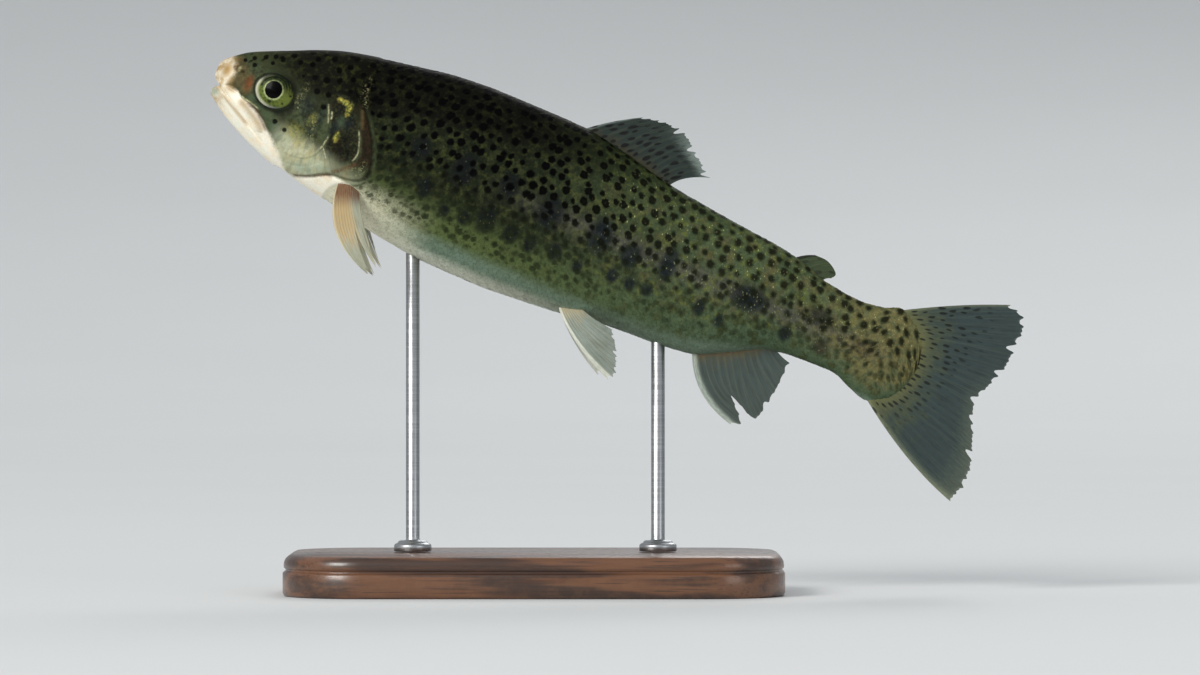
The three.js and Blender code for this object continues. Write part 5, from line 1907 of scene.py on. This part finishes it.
@dataclass(frozen=True)
class EyeFinish:
    """A black pupil, a mottled iris and a silver crescent, in millimetres from the pupil's middle."""

    pupil: float = 2.6
    rim_centre: tuple[float, float] = (0.15, -0.4)
    rim: tuple[float, float] = (5.95, 5.0)
    # dark clouds in the iris: place across, place up, radius
    clouds: Points = ((-3.8, 1.8, 0.9), (-3.9, 0.2, 0.5), (4.9, 2.8, 0.8), (2.6, 3.9, 1.2), (-1, 3.9, 0.9),
                      (5.3, 0.2, 0.45), (0, -3.5, 0.7), (0.8, 4.2, 0.9), (3.9, -2.7, 0.4))
    pupil_colour: Colour = shade(3, 3, 3)
    ring_colour: Colour = shade(178, 190, 138)
    iris_colour: Colour = shade(54, 70, 27)
    light_colour: Colour = shade(100, 110, 52)
    # the iris's dark clouds, and the painted shade on its top
    mottle_colour: Colour = shade(17, 23, 14)
    silver_colour: Colour = shade(206, 206, 180)
    violet_colour: Colour = shade(132, 134, 136)
    # the painted shadow where the orbit's skin folds over the eye
    fold_colour: Colour = shade(20, 24, 18)

    def material(self) -> Material:
        """Builds the material.

        Returns:
            The material.
        """
        made, g, sockets = open_material("Trout eye", Coat_Weight=0.12, Coat_IOR=1.25, Coat_Roughness=0.06,
                                         IOR=1.1)
        across, up, _ = g.parts("eye")
        place = g.join(across, up)
        mottle = g.noise(place, 1.1, 4, 0.6)
        uneven = g.centred(mottle)
        out = self.reach(g, place, (0, 0), (1, 1))
        to_rim = self.reach(g, place, self.rim_centre, self.rim)

        wave = g.maths("SINE", g.sum(g.product(out, 8.6), g.product(mottle, 5)))
        # painted shadow: the iris darker towards its top, under the brow, rippled in rings
        shaded = g.product(g.span(g.sum(up, g.product(uneven, 4)), -1, 2.6),
                           g.span(wave, -0.4, 0.9, 0.98, 0.66))
        dark = g.highest(0, *(g.span(self.reach(g, place, (cx, cz), (radius, radius)), 1.8, 0)
                              for cx, cz, radius in self.clouds))
        dark = g.span(g.sum(dark, g.product(uneven, 2.6)), 0.2, 1, 0, 0.9)
        lower_left = g.maths("DIVIDE", g.sum(g.product(across, -0.78), g.product(up, -0.62)), 5.4)
        inner = g.sum(g.span(lower_left, -0.4, 0.85, 0.99, 0.85), g.product(uneven, 0.1))
        crescent = g.product(g.span(lower_left, -0.6, 0.3), g.span(up, 2.6, 0.6, 0.25, 1),
                             g.span(g.less(to_rim, inner), -0.13, 0.1))
        silver = g.mix(g.span(across, -2.5, 2), self.silver_colour, self.violet_colour)
        ring = g.product(g.span(out, self.pupil + 0.75, self.pupil + 0.1),
                         g.span(mottle, 0.3, 0.64, 0.3, 0.9))
        # painted shadow: a dark ring round the eye's edge, where the orbit's skin folds over it
        fold = g.span(g.sum(to_rim, g.product(uneven, 0.1)), 0.9, 1.02, 0, 0.9)
        colour = g.layered(
            g.mix(g.span(mottle, 0.34, 0.64), self.iris_colour, self.light_colour),
            (g.span(across, 1.5, 4.8, 0, 0.7), self.light_colour), (shaded, self.mottle_colour),
            (dark, self.mottle_colour), (g.product(crescent, g.span(mottle, 0.25, 0.6, 0.6, 0.95)), silver),
            (g.product(ring, g.span(up, 2.2, -0.5, 0.4, 1)), self.ring_colour), (fold, self.fold_colour),
            (g.span(out, self.pupil + 0.12, self.pupil - 0.08), self.pupil_colour))
        g.wire(sockets, Base_Color=colour, Metallic=g.product(g.highest(crescent, ring), 0.15),
               Roughness=g.span(out, self.pupil, self.pupil + 0.4, 0.25, 0.45),
               Normal=g.bump(g.product(mottle, g.span(out, 2.7, 3.2)), 0.25, 0.0002))
        return made

    @staticmethod
    def reach(g: Graph, place: Socket, centre: tuple[float, float], half: tuple[float, float]) -> Socket:
        """Distance from a centre, 1 on the ellipse of the given half sizes."""
        node = g.add("ShaderNodeMapping", place, (*centre, 0), None, (*half, 1), vector_type="TEXTURE")
        return g.length(node.outputs[0])


def edge_wear() -> NodeTree:
    """Worn edges and faint dust for the stand.

    Returns:
        A group with the input Amount and the outputs Wear, on edges, and Dust, on what faces up.
    """
    outputs = dict.fromkeys(("Wear", "Dust"), SocketKind.NUMBER)
    g, given, out = open_group("Edge wear", {"Amount": SocketKind.NUMBER}, outputs)
    geometry = g.add("ShaderNodeNewGeometry").outputs
    ragged = g.noise(geometry["Position"], 420, 3)
    facing_up = g.split(geometry["Normal"])[2]
    worn = g.product(g.span(geometry["Pointiness"], 0.52, 0.62), g.span(ragged, 0.4, 0.65))
    dusty = g.product(g.span(facing_up, 0.6, 1), g.span(ragged, 0.35, 0.7))
    g.wire(out, Wear=g.product(worn, given.Amount), Dust=g.product(dusty, given.Amount))
    return g.tree


@dataclass(frozen=True)
class WoodFinish:
    """Dark stained hardwood with a satin varnish, its grain along the plinth."""

    wear: NodeTree
    early: Colour = shade(104, 66, 40)
    late: Colour = shade(58, 34, 20)
    pore: Colour = shade(30, 18, 12)
    worn: Colour = shade(150, 108, 70)

    def material(self) -> Material:
        """Builds the material.

        Returns:
            The material.
        """
        made, g, sockets = open_material("Stained wood", Coat_Weight=0.5, Coat_Roughness=0.22, IOR=1.5)
        grain = g.product(g.noise(g.scaled(9, 70, 120), 0.8, 4), 26)
        rings = g.maths("SINE", g.sum(grain, g.product(g.noise(g.position(), 14, 3), 9)))
        pores = g.noise(g.scaled(60, 2200, 2200), 1, 3)
        worn = g.call(self.wear, Amount=0.35)
        colour = g.layered(g.mix(g.span(rings, -0.9, 1), self.late, self.early),
                           (g.product(g.span(pores, 0.54, 0.68), 0.6), self.pore), (worn["Wear"], self.worn))
        g.wire(sockets, Base_Color=colour, Roughness=g.span(g.sum(pores, worn["Dust"]), 0.3, 1.1, 0.34, 0.6),
               Normal=g.bump(pores, 0.12, 0.0001))
        return made


@dataclass(frozen=True)
class SteelFinish:
    """Brushed stainless steel, turned round and round."""

    wear: NodeTree
    steel: Colour = shade(180, 182, 184)
    dull: Colour = shade(160, 162, 164)

    def material(self) -> Material:
        """Builds the material.

        Returns:
            The material.
        """
        made, g, sockets = open_material("Brushed steel", Metallic=1, Anisotropic=0.4)
        lines = g.noise(g.scaled(40, 40, 2600), 1, 3)
        worn = g.call(self.wear, Amount=0.5)
        colour = g.mix(g.span(lines, 0.35, 0.7), self.dull, self.steel)
        g.wire(sockets, Base_Color=g.mix(worn["Wear"], colour, self.steel),
               Roughness=g.span(lines, 0.3, 0.7, 0.28, 0.36), Normal=g.bump(lines, 0.05, 0.00002))
        return made


# ---------------------------------------------------------------- stage, light and camera


@dataclass
class Studio:
    """A pale floor that curves up far away, soft lights and the camera."""

    flat_radius: float = 2.2
    rise_radius: float = 9.0
    rise: float = 5.0
    turns: int = 96
    floor_colour: Colour = shade(214, 216, 216)
    world_colour: Colour = (0.93, 0.96, 1.0)
    world_strength: float = 0.55
    lens: float = 180.0
    sensor: float = 36.0
    view_width: float = 352.1  # millimetres across the view at the fish's middle plane
    view_centre: tuple[float, float] = (112.2, -79.0)  # x and z of the view's middle on the pitched fish

    def build_floor(self) -> Piece:
        """Makes the floor, a wide shallow bowl."""
        radii = np.r_[0.2, 0.6, 1.2, self.flat_radius]
        angle = np.linspace(0, math.pi / 2, 22)[1:]
        run = self.rise_radius - self.flat_radius
        radii = np.r_[radii, self.flat_radius + run * np.sin(angle)]
        heights = np.r_[np.zeros(4), self.rise * (1 - np.cos(angle))]
        ring = circle(self.turns)
        points = [at_height(ring * radius, height) for radius, height in zip(radii, heights)]
        mesh = bpy.data.meshes.new("floor")
        faces = [*tube_faces(len(radii), self.turns)[:, ::-1].tolist(), list(range(self.turns))]
        mesh.from_pydata(np.concatenate(points).tolist(), [], faces)
        mesh.polygons.foreach_set("use_smooth", np.ones(len(faces), bool))
        made, g, sockets = open_material("Pale floor", Roughness=0.75)
        darker = tuple(0.96 * part for part in self.floor_colour)
        g.wire(sockets, Base_Color=g.mix(g.noise(g.position(), 3, 2), self.floor_colour, darker))
        mesh.materials.append(made)
        floor = bpy.data.objects.new("floor", mesh)
        floor.location.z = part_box("stand_base")[0].z
        bpy.context.scene.collection.objects.link(floor)
        floor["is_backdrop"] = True
        return floor

    def add_light(self, name: str, place: tuple, size: float, power: float, colour: Colour,
                  aim: Vector) -> None:
        """Adds a square soft light that faces a point.

        Args:
            name: the light's name.
            place: where it stands from that point, in metres.
            size: its side.
            power: its strength in watts.
            colour: its colour.
            aim: the point.
        """
        data = bpy.data.lights.new(name, "AREA")
        data.size, data.energy, data.color = size, power, colour
        lamp = bpy.data.objects.new(name, data)
        lamp.location = aim + Vector(place)
        lamp.rotation_euler = (-Vector(place)).to_track_quat("-Z", "Y").to_euler()
        bpy.context.scene.collection.objects.link(lamp)

    def light(self) -> None:
        """Adds the lights and the pale surroundings."""
        low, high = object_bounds()
        aim = (Vector(low) + Vector(high)) / 2
        self.add_light("key", (-3, -3.4, 2.6), 2, 210, (1, 0.98, 0.94), aim)
        self.add_light("fill", (2.2, -2.2, 0.9), 1.2, 10, (0.94, 0.97, 1), aim)
        self.add_light("rear", (1, 3.6, 2.6), 2, 40, (1, 1, 1), aim)
        world = bpy.data.worlds.new("Pale room")
        world.use_nodes = True
        backdrop = world.node_tree.nodes["Background"]
        backdrop.inputs["Color"].default_value = (*self.world_colour, 1.0)
        backdrop.inputs["Strength"].default_value = self.world_strength
        bpy.context.scene.world = world

    def build_camera(self) -> Piece:
        """Makes the level camera, square on to the left flank."""
        data = bpy.data.cameras.new("camera")
        data.lens, data.sensor_width = self.lens, self.sensor
        camera = bpy.data.objects.new("camera", data)
        shift = FORM.shift()
        distance = self.view_width * self.lens / self.sensor
        x, z = self.view_centre
        camera.location = Vector((x + shift.x, shift.y - distance, z + shift.z)) * MM
        camera.rotation_euler = (math.pi / 2, 0, 0)
        bpy.context.scene.collection.objects.link(camera)
        bpy.context.scene.camera = camera
        return camera


def build_fins(rays: NodeTree) -> None:
    """Makes every fin in its own finish."""
    grey = FinFinish("Dorsal fin membrane", rays, web=shade(36, 48, 44), ray=shade(62, 70, 56),
                     base=shade(46, 44, 28), base_reach=0.12, spot=shade(7, 8, 7), spots=0.97, spot_gap=2.6,
                     spot_size=0.76, spot_reach=0.95, spot_slope=0.1, tint=shade(64, 58, 38), tint_reach=0.22,
                     front_edge=0.02, edge=shade(150, 164, 158), pale_tips=0.6, clearness=0.1)
    tail = FinFinish("Tail fin membrane", rays, web=shade(50, 64, 64), ray=shade(72, 84, 76),
                     base=shade(108, 108, 66), base_reach=0.18, spot=shade(18, 22, 16), spots=0.9,
                     spot_size=0.56, spot_gap=2.5, spot_reach=0.9, spot_slope=0.5, front_edge=0.012,
                     rear_edge=0.02, edge=shade(132, 138, 112), tint=shade(82, 88, 60), tint_reach=0.34,
                     pale_tips=0.25, clearness=0.1)
    anal = FinFinish("Anal fin membrane", rays, web=shade(66, 78, 74), ray=shade(96, 104, 90),
                     base=shade(160, 118, 72), base_reach=0.04, front_edge=0.06, edge=shade(176, 186, 174),
                     tint=shade(96, 88, 58), tint_reach=0.14, clearness=0.14)
    adipose = FinFinish("Adipose fin membrane", rays, web=shade(60, 72, 48), ray=shade(70, 82, 54),
                        base=shade(66, 74, 44), spot=shade(20, 24, 16), spots=0.6, spot_size=0.6,
                        spot_gap=4, spot_reach=1.2, front_edge=0.12, edge=shade(18, 22, 16),
                        clearness=0.05)
    amber = FinFinish("Pectoral fin membrane", rays, web=shade(160, 164, 146), ray=shade(190, 180, 146),
                      base=shade(100, 62, 40), base_reach=0.2, tint=shade(184, 150, 92), tint_reach=0.62,
                      front_tint=1, front_edge=0.04, edge=shade(214, 204, 172), pale_tips=0.4,
                      clearness=0.15)
    pelvic = FinFinish("Pelvic fin membrane", rays, web=shade(134, 144, 134), ray=shade(152, 154, 136),
                       base=shade(168, 152, 120), base_reach=0.05, front_edge=0.1, edge=shade(206, 208, 194),
                       tint=shade(166, 156, 126), tint_reach=0.2, clearness=0.25)
    single = {"dorsal_fin": grey, "caudal_fin": tail, "anal_fin": anal, "adipose_fin": adipose}
    for name, finish in single.items():
        Fin(name, FINS[name]).build("fin_membrane", finish.material())
    for name, finish in {"pectoral_fin": amber, "pelvic_fin": pelvic}.items():
        made = finish.material()
        for side in Side:
            reach = RIGHT_PELVIC_REACH if (name, side) == ("pelvic_fin", Side.RIGHT) else 1
            Fin(f"{name}_{side.label}", FINS[name], side, reach).build("amber_fin_membrane", made)


def main() -> None:
    """Builds the trout, its stand, the stage, the lights and the camera."""
    logging.basicConfig(level=logging.INFO, format="%(name)s: %(message)s")
    bpy.context.scene.view_settings.view_transform = "Standard"
    markings, rays, wear = TroutMarkings().build(), fin_rays(), edge_wear()
    skin = BodySkin()
    skin.build(SkinFinish(markings).material())
    ScaleCoat(skin).build(ScaleFinish(markings).material())
    build_fins(rays)
    eye_finish = EyeFinish().material()
    for side in Side:
        Eye(side).build(eye_finish)
    stand = Stand()
    stand.build_plinth(WoodFinish(wear).material())
    steel = SteelFinish(wear).material()
    for node in ("stand_rod_front", "stand_rod_rear"):
        stand.build_rod(node, steel)
    studio = Studio()
    studio.build_camera()
    studio.light()
    studio.build_floor()


if __name__ == "__main__":
    main()
